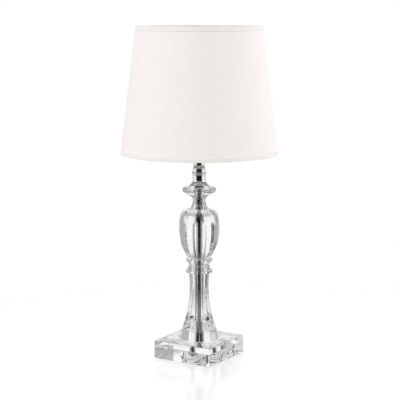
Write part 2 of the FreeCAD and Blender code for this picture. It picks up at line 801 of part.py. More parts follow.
def make_neck_glass():
    cone = faceted(
        "neck_cone_blank",
        [
            ("cone_edge_radius", "zero"),
            ("cone_edge_radius", "cone_edge_height"),
            ("cone_bend_radius", "cone_bend_height"),
            ("cone_top_radius", "cone_height"),
        ],
    )
    bored("neck_cone", cone, "cone_height", "cone_level")
    disc = faceted(
        "neck_disc_blank",
        [
            ("disc_seat_radius", "zero"),
            ("disc_radius", "disc_edge"),
            ("disc_radius", "disc_upper_height"),
            ("disc_seat_radius", "disc_height"),
        ],
    )
    bored("neck_disc", disc, "disc_height", "disc_level")


def make_dish():
    dish = faceted(
        "dish_blank",
        [
            ("dish_seat_radius", "zero"),
            ("dish_under_radius", "dish_under_height"),
            ("dish_rim_radius", "dish_rim_height"),
            ("dish_crown_radius", "dish_crown_height"),
            ("dish_top_radius", "dish_height"),
        ],
    )
    bored("dish", dish, "dish_height", "dish_level")


# Chrome neck


def make_neck_cap():
    """A hollow bell over the clamping nut, with a flat flange on the dish."""
    turned(
        "neck_cap",
        [
            ("bell_inner_flange", "zero"),
            ("bell_flange_radius", "zero"),
            ("bell_flange_radius", "bell_flange_height"),
            ("bell_step_radius", "bell_step_height", "bell_curve", 1),
            ("bell_neck_radius", "bell_neck_height"),
            ("bell_neck_radius", "bell_height"),
            ("rod_fit_radius", "bell_height"),
            ("rod_fit_radius", "bell_roof"),
            ("bell_inner_neck", "bell_roof"),
            ("bell_inner_neck", "bell_neck_height", "bell_inner_curve", -1),
            ("bell_inner_step", "bell_step_height"),
            ("bell_inner_flange", "bell_flange_height"),
        ],
        "bell_level",
    )


def make_neck_ring():
    turned(
        "neck_ring",
        [
            ("rod_fit_radius", "zero"),
            ("bell_neck_radius", "zero"),
            ("bell_neck_radius", "bead_land", "bead_curve", -1),
            ("bell_neck_radius", "bead_upper_land"),
            ("bell_neck_radius", "bead_height"),
            ("rod_fit_radius", "bead_height"),
        ],
        "bead_level",
    )


def make_neck_sleeve():
    turned(
        "neck_sleeve",
        [
            ("rod_fit_radius", "zero"),
            ("sleeve_foot_radius", "zero"),
            ("sleeve_shoulder_radius", "sleeve_groove_height"),
            ("sleeve_groove_radius", "sleeve_groove_height"),
            ("sleeve_groove_radius", "sleeve_groove_top"),
            ("sleeve_shoulder_radius", "sleeve_groove_top"),
            ("sleeve_top_radius", "sleeve_taper_height"),
            ("sleeve_top_radius", "sleeve_height"),
            ("rod_fit_radius", "sleeve_height"),
        ],
        "sleeve_level",
    )


# Lampholder


def make_holder_cap():
    """A cup on the end of the rod, with a slot right through it for the switch's bar."""
    cap = turned(
        "holder_cap",
        [
            ("rod_fit_radius", "zero"),
            ("cap_hub_radius", "zero"),
            ("cap_radius", "cap_dome_height"),
            ("cap_radius", "cap_height"),
            ("cap_inner_radius", "cap_height"),
            ("cap_inner_radius", "cap_inner_dome"),
            ("cap_hub_radius", "cap_floor"),
            ("rod_fit_radius", "cap_floor"),
        ],
        "cap_level",
    )
    doc.recompute()
    sketch = new_sketch(cap, "bar_slot_outline", "YZ_Plane")
    half = value("bar_slot_width") / 2
    low = value("bar_slot_level")
    high = low + value("bar_slot_height")
    draw_rectangle(sketch, half, low, high)
    for index, kind in ((1, "Vertical"), (2, "Horizontal"), (3, "Vertical")):
        sketch.addConstraint(Sketcher.Constraint(kind, index))
    sketch.addConstraint(Sketcher.Constraint("Symmetric", 0, 1, 0, 2, -2))
    width = sketch.addConstraint(Sketcher.Constraint("DistanceX", 0, 1, 0, 2, 2 * half))
    sketch.setExpression(f"Constraints[{width}]", cell("bar_slot_width"))
    rise = sketch.addConstraint(Sketcher.Constraint("DistanceY", -1, 1, 0, 1, low))
    sketch.setExpression(f"Constraints[{rise}]", cell("bar_slot_level"))
    height = sketch.addConstraint(Sketcher.Constraint("DistanceY", 1, 1, 1, 2, high - low))
    sketch.setExpression(f"Constraints[{height}]", cell("bar_slot_height"))
    before = cap.Shape.Volume
    slot = cap.newObject("PartDesign::Pocket", "bar_slot")
    slot.Profile = sketch
    slot.SideType = "Symmetric"
    slot.Type = "ThroughAll"
    doc.recompute()
    if not cap.Shape.Volume < before:
        raise RuntimeError("bar_slot cuts nothing")


def make_push_bar():
    """The switch's bar lies along X and stands out further on the -X side, where it is pushed."""
    bar = doc.addObject("Part::Box", "push_bar_blank")
    bind(bar, Length="bar_length", Width="bar_width", Height="bar_height")
    doc.recompute()
    rounded = doc.addObject("Part::Fillet", "push_bar")
    rounded.Base = bar
    ends = [
        (index, value("bar_round"), value("bar_round"))
        for index, edge in enumerate(bar.Shape.Edges, start=1)
        if abs(edge.BoundBox.XLength) < 1e-6
    ]
    rounded.Edges = ends
    bind(rounded, Placement_Base_x="bar_place", Placement_Base_y="bar_side")
    bind(rounded, Placement_Base_z="bar_base")
    keep(rounded, "push_bar")


def screw_cylinder(name, side, radius, height, level):
    cylinder = doc.addObject("Part::Cylinder", name)
    bind(cylinder, Radius=radius, Height=height, Placement_Base_z=level)
    cylinder.setExpression("Placement.Base.y", f"levels.screw_place * {side}")
    return cylinder


def make_insert():
    """Insulating disc in the top of the cap, with a tapped hole for each terminal screw."""
    disc = doc.addObject("Part::Cylinder", "holder_insert_disc")
    bind(disc, Radius="insert_radius", Height="insert_height", Placement_Base_z="insert_level")
    holes = doc.addObject("Part::Compound", "holder_insert_holes")
    holes.Links = [
        screw_cylinder(f"screw_hole_{name}", side, "screw_hole_radius", "screw_reach", "screw_level")
        for name, side in (("front", -1), ("back", 1))
    ]
    insert = doc.addObject("Part::Cut", "holder_insert")
    insert.Base = disc
    insert.Tool = holes
    keep(insert, "holder_insert")


def make_terminal_screws():
    screws = []
    for name, side in (("front", -1), ("back", 1)):
        shank = screw_cylinder(f"shank_{name}", side, "screw_shank_radius", "screw_reach", "screw_level")
        head = screw_cylinder(
            f"head_{name}", side, "screw_head_radius", "screw_head_height", "skirt_level"
        )
        screw = doc.addObject("Part::Fuse", f"screw_{name}")
        screw.Base = shank
        screw.Tool = head
        screws.append(screw)
    group = doc.addObject("Part::Compound", "terminal_screws")
    group.Links = screws
    keep(group, "terminal_screws")


def make_skirt():
    """Threaded shell above the cap: the shade sits on its flange, and its lip holds the brass shell."""
    turned(
        "holder_skirt",
        [
            ("skirt_inner_radius", "zero"),
            ("seat_radius", "zero"),
            ("seat_radius", "seat_thickness"),
            ("skirt_radius", "seat_thickness"),
            ("skirt_radius", "skirt_height"),
            ("skirt_mouth_radius", "skirt_height"),
            ("skirt_mouth_radius", "skirt_lip_level"),
            ("skirt_inner_radius", "skirt_lip_level"),
        ],
        "skirt_level",
    )


def make_screw_shell():
    turned(
        "screw_shell",
        [
            ("shell_hole_radius", "zero"),
            ("shell_radius", "zero"),
            ("shell_radius", "shell_height"),
            ("shell_inner_radius", "shell_height"),
            ("shell_inner_radius", "shell_wall"),
            ("shell_hole_radius", "shell_wall"),
        ],
        "skirt_level",
    )


def make_centre_contact():
    """A brass tongue that lies on the insert and rises towards the bulb."""
    contact = doc.addObject("PartDesign::Body", "centre_contact")
    sketch = new_sketch(contact, "contact_outline", "XZ_Plane")
    outline(
        sketch,
        [
            ("contact_tail", "zero"),
            ("zero", "zero"),
            ("contact_tip", "contact_inner_rise"),
            ("contact_tip", "contact_rise"),
            ("zero", "contact_gauge"),
            ("contact_tail", "contact_gauge"),
        ],
    )
    strip = contact.newObject("PartDesign::Pad", "contact_strip")
    strip.Profile = sketch
    strip.SideType = "Symmetric"
    bind(strip, Length="contact_width")
    bind(contact, Placement_Base_z="skirt_level")
    keep(contact, "centre_contact")


# Shade


def make_shade_ring():
    turned(
        "shade_ring",
        [
            ("ring_bore_radius", "zero"),
            ("ring_flange_radius", "zero"),
            ("ring_flange_radius", "ring_flange_thickness"),
            ("ring_collar_radius", "ring_flange_thickness"),
            ("ring_collar_radius", "ring_height"),
            ("ring_bore_radius", "ring_height"),
        ],
        "ring_level",
    )


def make_spider():
    """The fitter ring and its arms, which slope down to the lower wire ring."""
    outer = doc.addObject("Part::Cylinder", "fitter_disc")
    bind(outer, Radius="fitter_radius", Height="fitter_thickness", Placement_Base_z="fitter_rise")
    arms = []
    for index in range(int(value("arm_count"))):
        arm = doc.addObject("Part::Cylinder", f"arm_{index + 1}")
        bind(arm, Radius="arm_radius", Height="arm_length")
        turn = value("arm_angle") + 360 * index / value("arm_count")
        lie = FreeCAD.Rotation(Vector(0, 1, 0), value("arm_tilt"))
        swing = FreeCAD.Rotation(Z_AXIS, turn)
        reach = swing.multVec(Vector(value("arm_start"), 0, value("arm_start_height")))
        arm.Placement = FreeCAD.Placement(reach, swing.multiply(lie))
        arms.append(arm)
    frame = doc.addObject("Part::MultiFuse", "spider_blank")
    frame.Shapes = [outer] + arms
    hole = doc.addObject("Part::Cylinder", "fitter_hole")
    bind(hole, Radius="fitter_hole_radius", Height="fitter_rise", Placement_Base_z="fitter_rise")
    spider = doc.addObject("Part::Cut", "shade_spider")
    spider.Base = frame
    spider.Tool = hole
    bind(spider, Placement_Base_z="shade_level")
    keep(spider, "shade_spider")


def make_wire_rings():
    for label, radius, height in (
        ("shade_bottom_ring", "low_wire_radius", "low_wire_height"),
        ("shade_top_ring", "high_wire_radius", "high_wire_height"),
    ):
        ring = doc.addObject("Part::Torus", label)
        bind(ring, Radius1=radius, Radius2="wire_radius")
        ring.setExpression("Placement.Base.z", f"levels.shade_level + levels.{height}")
        keep(ring, label)


def make_shade_wall():
    turned(
        "shade_liner",
        [
            ("liner_inner_low", "edge_low"),
            ("liner_outer_low", "edge_low"),
            ("liner_outer_high", "edge_high"),
            ("liner_inner_high", "edge_high"),
        ],
        "shade_level",
    )
    turned(
        "shade_fabric",
        [
            ("fabric_inner_low", "edge_low"),
            ("shade_bottom_radius", "edge_low"),
            ("shade_top_radius", "edge_high"),
            ("fabric_inner_high", "edge_high"),
        ],
        "shade_level",
    )


def make_shade_trims():
    """Tapes folded round the edges: outside the fabric, over the edge, and round the wire."""
    turned(
        "shade_bottom_trim",
        [
            ("low_fold_inner", "zero"),
            ("trim_outer_low", "zero"),
            ("low_trim_outer", "low_trim_edge"),
            ("low_trim_inner", "low_trim_edge"),
            ("trim_inner_low", "edge_low"),
            ("low_fold_outer", "edge_low"),
            ("low_fold_outer", "low_fold_height"),
            ("low_fold_inner", "low_fold_height"),
        ],
        "shade_level",
    )
    turned(
        "shade_top_trim",
        [
            ("high_fold_inner", "shade_height"),
            ("high_fold_inner", "high_fold_height"),
            ("high_fold_outer", "high_fold_height"),
            ("high_fold_outer", "edge_high"),
            ("trim_inner_high", "edge_high"),
            ("high_trim_inner", "high_trim_edge"),
            ("high_trim_outer", "high_trim_edge"),
            ("trim_outer_high", "shade_height"),
        ],
        "shade_level",
    )


# Bulb


def make_bulb():
    contact = doc.addObject("Part::Cylinder", "bulb_contact")
    bind(contact, Radius="bulb_contact_radius", Height="bulb_contact_height")
    bind(contact, Placement_Base_z="bulb_level")
    keep(contact, "bulb_contact")
    insulator = doc.addObject("Part::Cone", "bulb_insulator")
    bind(insulator, Radius1="bulb_contact_radius", Radius2="bulb_cap_inner")
    bind(insulator, Height="bulb_insulator_height", Placement_Base_z="bulb_insulator_level")
    keep(insulator, "bulb_insulator")
    washer("bulb_cap", "bulb_cap_radius", "bulb_cap_inner", "bulb_cap_height", "bulb_cap_level")
    turned(
        "bulb_envelope",
        [
            ("envelope_inner_neck", "zero"),
            ("envelope_neck_radius", "zero"),
            ("envelope_neck_radius", "envelope_neck_height", "envelope_shoulder_curve", -1),
            ("envelope_radius", "envelope_wide_height", "envelope_flank_curve", -1),
            ("envelope_flank_radius", "envelope_flank_height", "envelope_tip_curve", -1),
            ("envelope_tip_radius", "envelope_tip_height"),
            ("zero", "envelope_height"),
            ("zero", "envelope_inner_height"),
            ("envelope_tip_radius", "envelope_inner_tip", "envelope_inner_tip_curve", 1),
            ("envelope_inner_flank", "envelope_flank_height", "envelope_inner_flank_curve", 1),
            ("envelope_inner_radius", "envelope_wide_height", "envelope_inner_shoulder_curve", 1),
            ("envelope_inner_neck", "envelope_neck_height"),
        ],
        "envelope_level",
    )


make_foot_pads()
make_base()
make_grommet()
make_rod()
make_spring_washer()
make_gaskets()
make_column()
make_collar()
make_urn()
make_neck_glass()
make_dish()
make_neck_cap()
make_neck_ring()
make_neck_sleeve()
make_holder_cap()
make_push_bar()
make_insert()
make_terminal_screws()
make_skirt()
make_screw_shell()
make_centre_contact()
make_shade_ring()
make_spider()
make_wire_rings()
make_shade_wall()
make_shade_trims()
make_bulb()
doc.recompute()

for item in doc.Objects:
    if "Invalid" in item.State or "Error" in item.State:
        raise RuntimeError(f"{item.Label} failed: {item.State}")
for node in nodes:
    if node.Shape.isNull() or not node.Shape.isValid() or not node.Shape.Solids:
        raise RuntimeError(f"{node.Label} isn't a valid solid")

os.makedirs("parts", exist_ok=True)
for node in nodes:
    node.Shape.exportStep(f"parts/{node.Label}.step")
    box = node.Shape.BoundBox
    print(f"{node.Label:20s} {len(node.Shape.Solids)} z {box.ZMin:7.2f} to {box.ZMax:7.2f}")
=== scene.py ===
import math

import bmesh
import bpy
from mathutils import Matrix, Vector


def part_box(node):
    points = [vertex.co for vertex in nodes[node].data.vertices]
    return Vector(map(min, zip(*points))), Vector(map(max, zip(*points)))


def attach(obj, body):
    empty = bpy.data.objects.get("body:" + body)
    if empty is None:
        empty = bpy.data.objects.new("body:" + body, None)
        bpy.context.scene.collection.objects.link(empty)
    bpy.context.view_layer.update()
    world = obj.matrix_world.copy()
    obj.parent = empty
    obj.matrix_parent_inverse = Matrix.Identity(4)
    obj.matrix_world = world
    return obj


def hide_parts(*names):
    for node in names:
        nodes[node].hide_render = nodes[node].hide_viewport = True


# A cut glass candlestick lamp with a chrome neck and a tapered drum shade of white slub fabric.
# Metres, +Z up, the frame's own origin under the middle of the base. Outlines are (radius, height)
# in millimetres above the lowest point of their own piece.

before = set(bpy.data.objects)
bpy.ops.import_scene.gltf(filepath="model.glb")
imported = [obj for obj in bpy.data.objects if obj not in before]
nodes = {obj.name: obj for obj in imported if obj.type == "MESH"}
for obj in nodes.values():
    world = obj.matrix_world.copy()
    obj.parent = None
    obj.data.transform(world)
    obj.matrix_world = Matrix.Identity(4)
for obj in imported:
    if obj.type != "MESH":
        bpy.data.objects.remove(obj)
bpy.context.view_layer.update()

MM = 0.001
TURN = 2 * math.pi

# Camera, fitted to the photograph: where the base's corners and the shade's rims fall
CAMERA_DISTANCE = 1.932
CAMERA_HEIGHT = 0.555
CAMERA_AZIMUTH = math.radians(32.0)
CAMERA_SIDE = CAMERA_AZIMUTH - math.pi / 2
CAMERA_PITCH = math.radians(8.76)
SENSOR_WIDTH = 36.0
LENS = 110.07
AXIS_PIXEL = 199.1
FRAME_PIXELS = 400.0

# How bright the studio is, by bearing in degrees from the camera's side (left is negative)
SEEN_IN_GLASS = (
    (-180, 0.98), (-160, 0.97), (-150, 0.9), (-143, 0.7), (-138, 0.4), (-133, 0.03),
    (-123, 0.03), (-115, 0.45), (-104, 0.72), (-60, 0.75), (-50, 0.4), (-43, 0.01),
    (24, 0.01), (34, 0.3), (56, 0.62), (70, 0.58), (98, 0.5), (126, 0.42),
    (143, 0.45), (152, 0.8), (160, 0.95), (180, 0.98),
)
SEEN_IN_METAL = (
    (-180, 1.0), (-150, 1.0), (-125, 0.5), (-110, 0.6), (-104, 1.0), (-57, 1.0), (-46, 0.012),
    (46, 0.012), (57, 1.0), (104, 1.0), (110, 0.6), (125, 0.5), (150, 1.0), (180, 1.0),
)
# And by elevation in degrees
SEEN_BY_HEIGHT = (
    (-90, 0.2), (-50, 0.5), (-30, 0.9), (-12, 1.0), (18, 1.0), (28, 0.7), (40, 0.2), (50, 0.04),
    (90, 0.02),
)
# A soft light above the dark side, which shows in slanting facets
ABOVE_DARK_SIDE = ((-90, 0.0), (18, 0.0), (25, 0.42), (38, 0.42), (50, 0.05), (90, 0.02))
# What falls on dull faces, by elevation
LIGHT_BY_HEIGHT = (
    (-90, 0.05), (-40, 0.08), (-14, 0.4), (0, 1.3), (28, 1.65), (38, 1.05), (47, 0.15), (90, 0.03),
)

FLOOR_RADIUS = 0.62
FLOOR_FADE = 0.30
FLOOR_SIDES = 96
FLOOR_LIFT = 0.49
# Painted light: seen through glass the floor glows, brightly near the lamp and dimmer between these two
# distances
FLOOR_DIMS = (0.12, 0.34)
FLOOR_GLOW_IN_GLASS = (0.5, 0.0)

# Soft lamps: name, bearing in degrees from the camera's side and power in watts
LAMPS = (("left_softbox", -58.0, 5.6), ("right_softbox", 92.0, 7.4))
LAMP_HEIGHT = 1.15
LAMP_DISTANCE = 1.4
LAMP_SIZE = (0.6, 1.0)
LAMP_AIM = Vector((0.0, 0.0, 0.27))

# How often light may turn back inside the cut glass, and pass through clear faces
GLASS_BOUNCES = 40
CLEAR_BOUNCES = 24
# How much of the light gets through one face of the cut glass to what lies behind in its shadow
CRYSTAL_SHADOW = 0.9

# The cloth's yarns: the warp as yarns round the shade, the weft as radians of wave in a metre
WARP_YARNS = 620.0
WEFT_WAVE = 9000.0
CLOTH_LIGHT = (0.94, 0.912, 0.89)
CLOTH_DARK = (0.90, 0.868, 0.845)

# Glass stack: rings of facets
FACETS = 12
FACET_ANGLE = math.radians(-10.5)
HALF_STEP = math.pi / FACETS
STEM = (
    (47.0, 0.0), (31.2, 15.0), (24.2, 28.0), (20.2, 42.0), (17.6, 58.0), (15.8, 80.0), (17.0, 107.5)
)
FOOT = ((32.4, 0.0), (32.4, 2.5), (22.9, 30.0), (40.0, 107.5))
COLLAR = (
    (20.8, 0.0), (21.6, 0.8), (21.6, 4.2), (18.8, 5.4), (16.4, 14.4), (22.2, 20.6), (22.2, 22.4),
    (21.4, 23.2),
)
URN_HEEL = ((12.6, 0.0),)
URN = ((20.0, 3.2), (26.0, 14.0), (30.6, 27.0), (33.2, 44.0), (32.9, 57.0), (31.7, 68.0), (27.6, 79.6))
SHOULDER = ((44.0, 0.0), (44.0, 27.0), (32.8, 62.0), (30.5, 71.0), (27.6, 75.6), (19.0, 79.6))
CONE = ((13.8, 0.0), (13.8, 2.5), (11.4, 7.5), (9.9, 15.4))
DISC = ((10.6, 0.0), (11.3, 0.7), (11.3, 2.9), (10.6, 3.6))
DISH = ((14.5, 0.0), (26.4, 8.4), (28.2, 11.3), (27.1, 13.8), (23.4, 15.6))
BORE_RADIUS = 5.4
BORE_SIDES = 64
# How far a cutting form reaches past the piece, and how far glass ends stay clear of each other
OVERRUN = 5.0
AIR_GAP = 0.04
# Height of the steps in which a curved outline is cut into rings
RING_STEP = 2.0
# Edges: rounding in millimetres, the least bend in degrees that is rounded, and the bend in degrees
# up to which two faces are shaded as one
FACET_EDGES = (0.3, 8.0, 7.5)
SLAB_EDGES = (0.25, 20.0, 19.0)

# Points closer than this are one, and so are faces that bend less than these angles
WELD = 0.002
FLAT_IN_CAD = 0.3
FLAT_IN_GLASS = 0.2
# In turned pieces, and the edges that are too short to keep
TURNED_WELD = 0.0005
TURNED_SLIVER = 0.0004

# Soft fittings
PAD = ((0.0, 0.0), (5.5, 0.0), (6.0, 1.5), (0.0, 1.5))
PAD_OFFSET = 40.5
GASKET_RADII = (("foot", 24.0), ("collar", 14.0), ("urn", 11.0), ("neck", 11.0), ("dish", 9.5))
COVER_RADIUS = 19.95
BUSH = ((3.3, 0.0), (6.4, 0.0), (6.4, 1.6), (4.45, 1.6), (4.45, 15.6), (3.3, 15.6))

# Rod and metal pieces on it
ROD_RADIUS = 5.0
ROD_HOLLOW = 4.0
ROD_PITCH = 1.0
ROD_THREAD = 0.45
ROD_THREAD_LEAST = 4.5
THREAD_STEP = 0.25
PLAIN_STEP = 20.0
METAL_BORE = 5.05
WASHER_RADII = (("clamp_washer", 14.0), ("stack_washer", 10.5))

# Shade ring: ribs on its grip, between two radii
RIBS = 40
RIB_SEGMENTS = 8
RIB_DEPTH = 0.45
GRIP = (22.0, 23.0)

# Shade, in millimetres above its lower edge
SHADE_LOW = 124.1
SHADE_HIGH = 99.6
EDGE = 0.5
TOP_EDGE = 200.3
SLOPE = (SHADE_LOW - SHADE_HIGH) / (TOP_EDGE - EDGE)
CLOTH = 0.6
LINING = 0.8
FIT = 0.05
SEAM_ANGLE = math.radians(122.0)
SEAM_WIDTH = 12.0
SEAM_LIFT = 0.35
BROAD_RIPPLE = 0.10
FINE_RIPPLE = 0.06

# Tapes, and the wires inside their folds. A wire's middle lies WIRE_RISE from the shade's edge and
# WIRE_INSET in from the wall, which is cloth and lining together. The fold ends WIRE_RISE further in.
TAPE = 0.5
TAPE_LIP = 7.0
TAPE_HEM = 0.6
TAPE_STEP = 1.5
WIRE = 3.0
WIRE_SIDES = 16
WIRE_RISE = 1.6
WIRE_INSET = WIRE_RISE * math.sqrt(1 + SLOPE * SLOPE)
WALL = 1.45
BOTTOM_FOLD = SHADE_LOW - WALL - SLOPE * WIRE_RISE - WIRE_INSET - WIRE_RISE
TOP_FOLD = SHADE_HIGH - WALL + SLOPE * WIRE_RISE - WIRE_INSET - WIRE_RISE


# Materials


class Tree:
    """Short calls for making and joining nodes."""

    def __init__(self, tree):
        self.tree = tree
        self.shader = tree.nodes.get("Principled BSDF")

    def node(self, kind, **settings):
        made = self.tree.nodes.new(kind)
        for name, setting in settings.items():
            setattr(made, name, setting)
        return made

    def link(self, out, into):
        self.tree.links.new(out, into)

    def feed(self, name, out):
        """Links an output to one of the shader's inputs."""
        self.link(out, self.shader.inputs[name])

    def place(self):
        """Positions in metres, in the frame that every piece shares."""
        return self.node("ShaderNodeTexCoord").outputs["Object"]

    def fill(self, made, given):
        """A node's inputs in turn, each from a number or from another node's output."""
        for slot, part in enumerate(given):
            if isinstance(part, (int, float)):
                made.inputs[slot].default_value = part
            else:
                self.link(part, made.inputs[slot])
        return made.outputs[0]

    def math(self, operation, *given):
        return self.fill(self.node("ShaderNodeMath", operation=operation), given)

    def join(self, *parts):
        return self.fill(self.node("ShaderNodeCombineXYZ"), parts)

    def split(self, vector):
        made = self.node("ShaderNodeSeparateXYZ")
        self.link(vector, made.inputs[0])
        return made.outputs

    def between(self, factor, first, second):
        """A level that goes from first to second as the factor goes from 0 to 1."""
        return self.math("MULTIPLY_ADD", factor, self.math("SUBTRACT", second, first), first)

    def noise(self, vector, scale, detail=2.0, roughness=0.5):
        made = self.node("ShaderNodeTexNoise")
        made.inputs["Scale"].default_value = scale
        made.inputs["Detail"].default_value = detail
        made.inputs["Roughness"].default_value = roughness
        self.link(vector, made.inputs["Vector"])
        return made.outputs["Fac"]

    def spread(self, given, source, target, **settings):
        """Carries one range over to another and holds it at its ends."""
        made = self.node("ShaderNodeMapRange", **settings)
        self.link(given, made.inputs["Value"])
        for name, number in zip(("From Min", "From Max", "To Min", "To Max"), (*source, *target)):
            made.inputs[name].default_value = number
        return made.outputs["Result"]

    def colours(self, factor, first, second):
        made = self.node("ShaderNodeMix", data_type="RGBA")
        self.link(factor, made.inputs["Factor"])
        made.inputs["A"].default_value = (*first, 1.0)
        made.inputs["B"].default_value = (*second, 1.0)
        return made.outputs["Result"]

    def bump(self, height, distance, strength, normal=None):
        made = self.node("ShaderNodeBump")
        made.inputs["Strength"].default_value = strength
        made.inputs["Distance"].default_value = distance
        self.link(height, made.inputs["Height"])
        if normal:
            self.link(normal, made.inputs["Normal"])
        return made.outputs["Normal"]

    def see_through(self, factor, level=1.0):
        """Where the factor is 1, a level of the light passes straight through the surface."""
        clear = self.node("ShaderNodeBsdfTransparent")
        clear.inputs["Color"].default_value = (level, level, level, 1.0)
        mixed = self.node("ShaderNodeMixShader")
        self.fill(mixed, (factor, self.shader.outputs[0], clear.outputs[0]))
        self.link(mixed.outputs[0], self.tree.nodes["Material Output"].inputs["Surface"])


def new_material(name, **settings):
    """A Principled material with uniform values set on the shader itself, and its node tree."""
    material = bpy.data.materials.new(name)
    material.use_nodes = True
    tree = Tree(material.node_tree)
    for socket, setting in settings.items():
        tree.shader.inputs[socket.replace("_", " ")].default_value = setting
    return material, tree


def cut_crystal():
    """Clear glass with a hand-polished surface; the lamps shine through it onto the table."""
    material, tree = new_material(
        "cut_crystal", Base_Color=(0.985, 0.99, 0.99, 1.0), IOR=1.52, Transmission_Weight=1.0
    )
    place = tree.place()
    polish = tree.noise(place, scale=260.0, detail=3.0)
    tree.feed("Roughness", tree.spread(polish, (0.35, 0.75), (0.0, 0.012)))
    ripple = tree.noise(place, scale=55.0, detail=1.0)
    tree.feed("Normal", tree.bump(ripple, distance=0.02 * MM, strength=0.5))
    path = tree.node("ShaderNodeLightPath")
    tree.see_through(path.outputs["Is Shadow Ray"], CRYSTAL_SHADOW)
    return material


def clear_vinyl():
    material, tree = new_material(
        "clear_vinyl", Base_Color=(0.95, 0.96, 0.96, 1.0), IOR=1.35, Transmission_Weight=1.0
    )
    grain = tree.noise(tree.place(), scale=900.0)
    tree.feed("Roughness", tree.spread(grain, (0.3, 0.7), (0.02, 0.1)))
    return material


def polished_chrome():
    material, tree = new_material(
        "polished_chrome", Base_Color=(0.83, 0.84, 0.85, 1.0), Metallic=1.0
    )
    place = tree.place()
    smear = tree.noise(place, scale=140.0, detail=4.0, roughness=0.65)
    tree.feed("Roughness", tree.spread(smear, (0.35, 0.8), (0.02, 0.07)))
    ripple = tree.noise(place, scale=90.0)
    tree.feed("Normal", tree.bump(ripple, distance=0.004 * MM, strength=0.4))
    return material


def dull_steel(name, light, dark):
    material, tree = new_material(name, Metallic=1.0)
    patches = tree.noise(tree.place(), scale=300.0, detail=4.0, roughness=0.6)
    tree.feed("Base Color", tree.colours(tree.spread(patches, (0.3, 0.75), (0.0, 1.0)), light, dark))
    tree.feed("Roughness", tree.spread(patches, (0.3, 0.8), (0.08, 0.2)))
    return material


def warm_metal(name, light, dark):
    material, tree = new_material(name, Metallic=1.0)
    tarnish = tree.noise(tree.place(), scale=220.0, detail=4.0, roughness=0.6)
    tree.feed("Base Color", tree.colours(tarnish, light, dark))
    tree.feed("Roughness", tree.spread(tarnish, (0.3, 0.8), (0.16, 0.34)))
    return material


def enamelled_steel():
    material, tree = new_material("enamelled_steel", IOR=1.5)
    mottle = tree.noise(tree.place(), scale=500.0, detail=3.0)
    tree.feed("Base Color", tree.colours(mottle, (0.86, 0.85, 0.82), (0.9, 0.89, 0.87)))
    tree.feed("Roughness", tree.spread(mottle, (0.3, 0.7), (0.24, 0.36)))
    tree.feed("Normal", tree.bump(mottle, distance=0.02 * MM, strength=0.5))
    return material


def moulded_plastic(name, light, dark, roughness):
    material, tree = new_material(name, IOR=1.49)
    place = tree.place()
    flow = tree.noise(place, scale=45.0)
    tree.feed("Base Color", tree.colours(flow, dark, light))
    grain = tree.noise(place, scale=1400.0)
    tree.feed("Roughness", tree.spread(grain, (0.3, 0.7), roughness))
    tree.feed("Normal", tree.bump(grain, distance=0.02 * MM, strength=0.4))
    return material


def opal_glass():
    material, tree = new_material(
        "opal_glass",
        IOR=1.5,
        Subsurface_Weight=0.35,
        Subsurface_Scale=2 * MM,
        Subsurface_Radius=(1.0, 0.95, 0.9),
        Coat_Weight=0.15,
    )
    cloud = tree.noise(tree.place(), scale=90.0)
    tree.feed("Base Color", tree.colours(cloud, (0.88, 0.88, 0.86), (0.92, 0.92, 0.9)))
    tree.feed("Roughness", tree.spread(cloud, (0.3, 0.7), (0.16, 0.24)))
    return material


def slub_fabric(name, brightness):
    """White linen-look cloth: a plain weave whose yarns swell here and there, more along the height."""
    material, tree = new_material(
        name, Roughness=0.85, Sheen_Weight=0.08, Sheen_Roughness=0.6, IOR=1.45
    )
    place = tree.place()
    across, along, up = tree.split(place)

    def scaled(part, times):
        return tree.math("MULTIPLY", part, times)

    def streaks(level_scale, upright_scale):
        """Swellings drawn out along the height, or round it, by two unlike scales."""
        drawn = tree.join(
            scaled(across, level_scale), scaled(along, level_scale), scaled(up, upright_scale)
        )
        return tree.noise(drawn, scale=1.0, detail=3.0, roughness=0.6)

    slubs = tree.math("ADD", scaled(streaks(300.0, 14.0), 0.65), scaled(streaks(22.0, 420.0), 0.35))
    tone = tree.math("ADD", slubs, scaled(tree.noise(place, scale=14.0), 0.25))
    light, dark = (tuple(brightness * part for part in tint) for tint in (CLOTH_LIGHT, CLOTH_DARK))
    tree.feed("Base Color", tree.colours(tree.spread(tone, (0.42, 0.84), (0.0, 1.0)), dark, light))
    tree.feed("Roughness", tree.spread(slubs, (0.3, 0.7), (0.78, 0.92)))
    uneven = scaled(slubs, 3.0)
    turn = tree.math("ARCTAN2", along, across)
    warp = tree.math("SINE", tree.math("MULTIPLY_ADD", turn, WARP_YARNS, uneven))
    weft = tree.math("SINE", tree.math("MULTIPLY_ADD", up, WEFT_WAVE, uneven))
    weave = tree.bump(tree.math("MULTIPLY", warp, weft), distance=0.06 * MM, strength=0.35)
    tree.feed("Normal", tree.bump(slubs, distance=0.25 * MM, strength=0.35, normal=weave))
    return material


crystal = cut_crystal()
vinyl = clear_vinyl()
chrome = polished_chrome()
zinc = dull_steel("zinc_steel", (0.5, 0.505, 0.51), (0.38, 0.385, 0.39))
rod_steel = dull_steel("rod_steel", (0.27, 0.272, 0.275), (0.2, 0.202, 0.205))
enamel = enamelled_steel()
white_plastic = moulded_plastic("white_plastic", (0.86, 0.85, 0.82), (0.83, 0.82, 0.79), (0.28, 0.42))
dark_plastic = moulded_plastic("dark_plastic", (0.03, 0.03, 0.03), (0.02, 0.02, 0.02), (0.3, 0.45))
ceramic = moulded_plastic("ceramic", (0.78, 0.76, 0.7), (0.72, 0.7, 0.64), (0.45, 0.6))
brass = warm_metal("brass", (0.8, 0.62, 0.3), (0.66, 0.5, 0.24))
bulb_metal = warm_metal("bulb_metal", (0.76, 0.76, 0.75), (0.62, 0.62, 0.61))
opal = opal_glass()
fabric = slub_fabric("slub_fabric", 1.0)
# Painted shade: the tapes are the shade's own cloth, drawn 3.5% darker
shaded_tape = slub_fabric("trim_tape", 0.965)
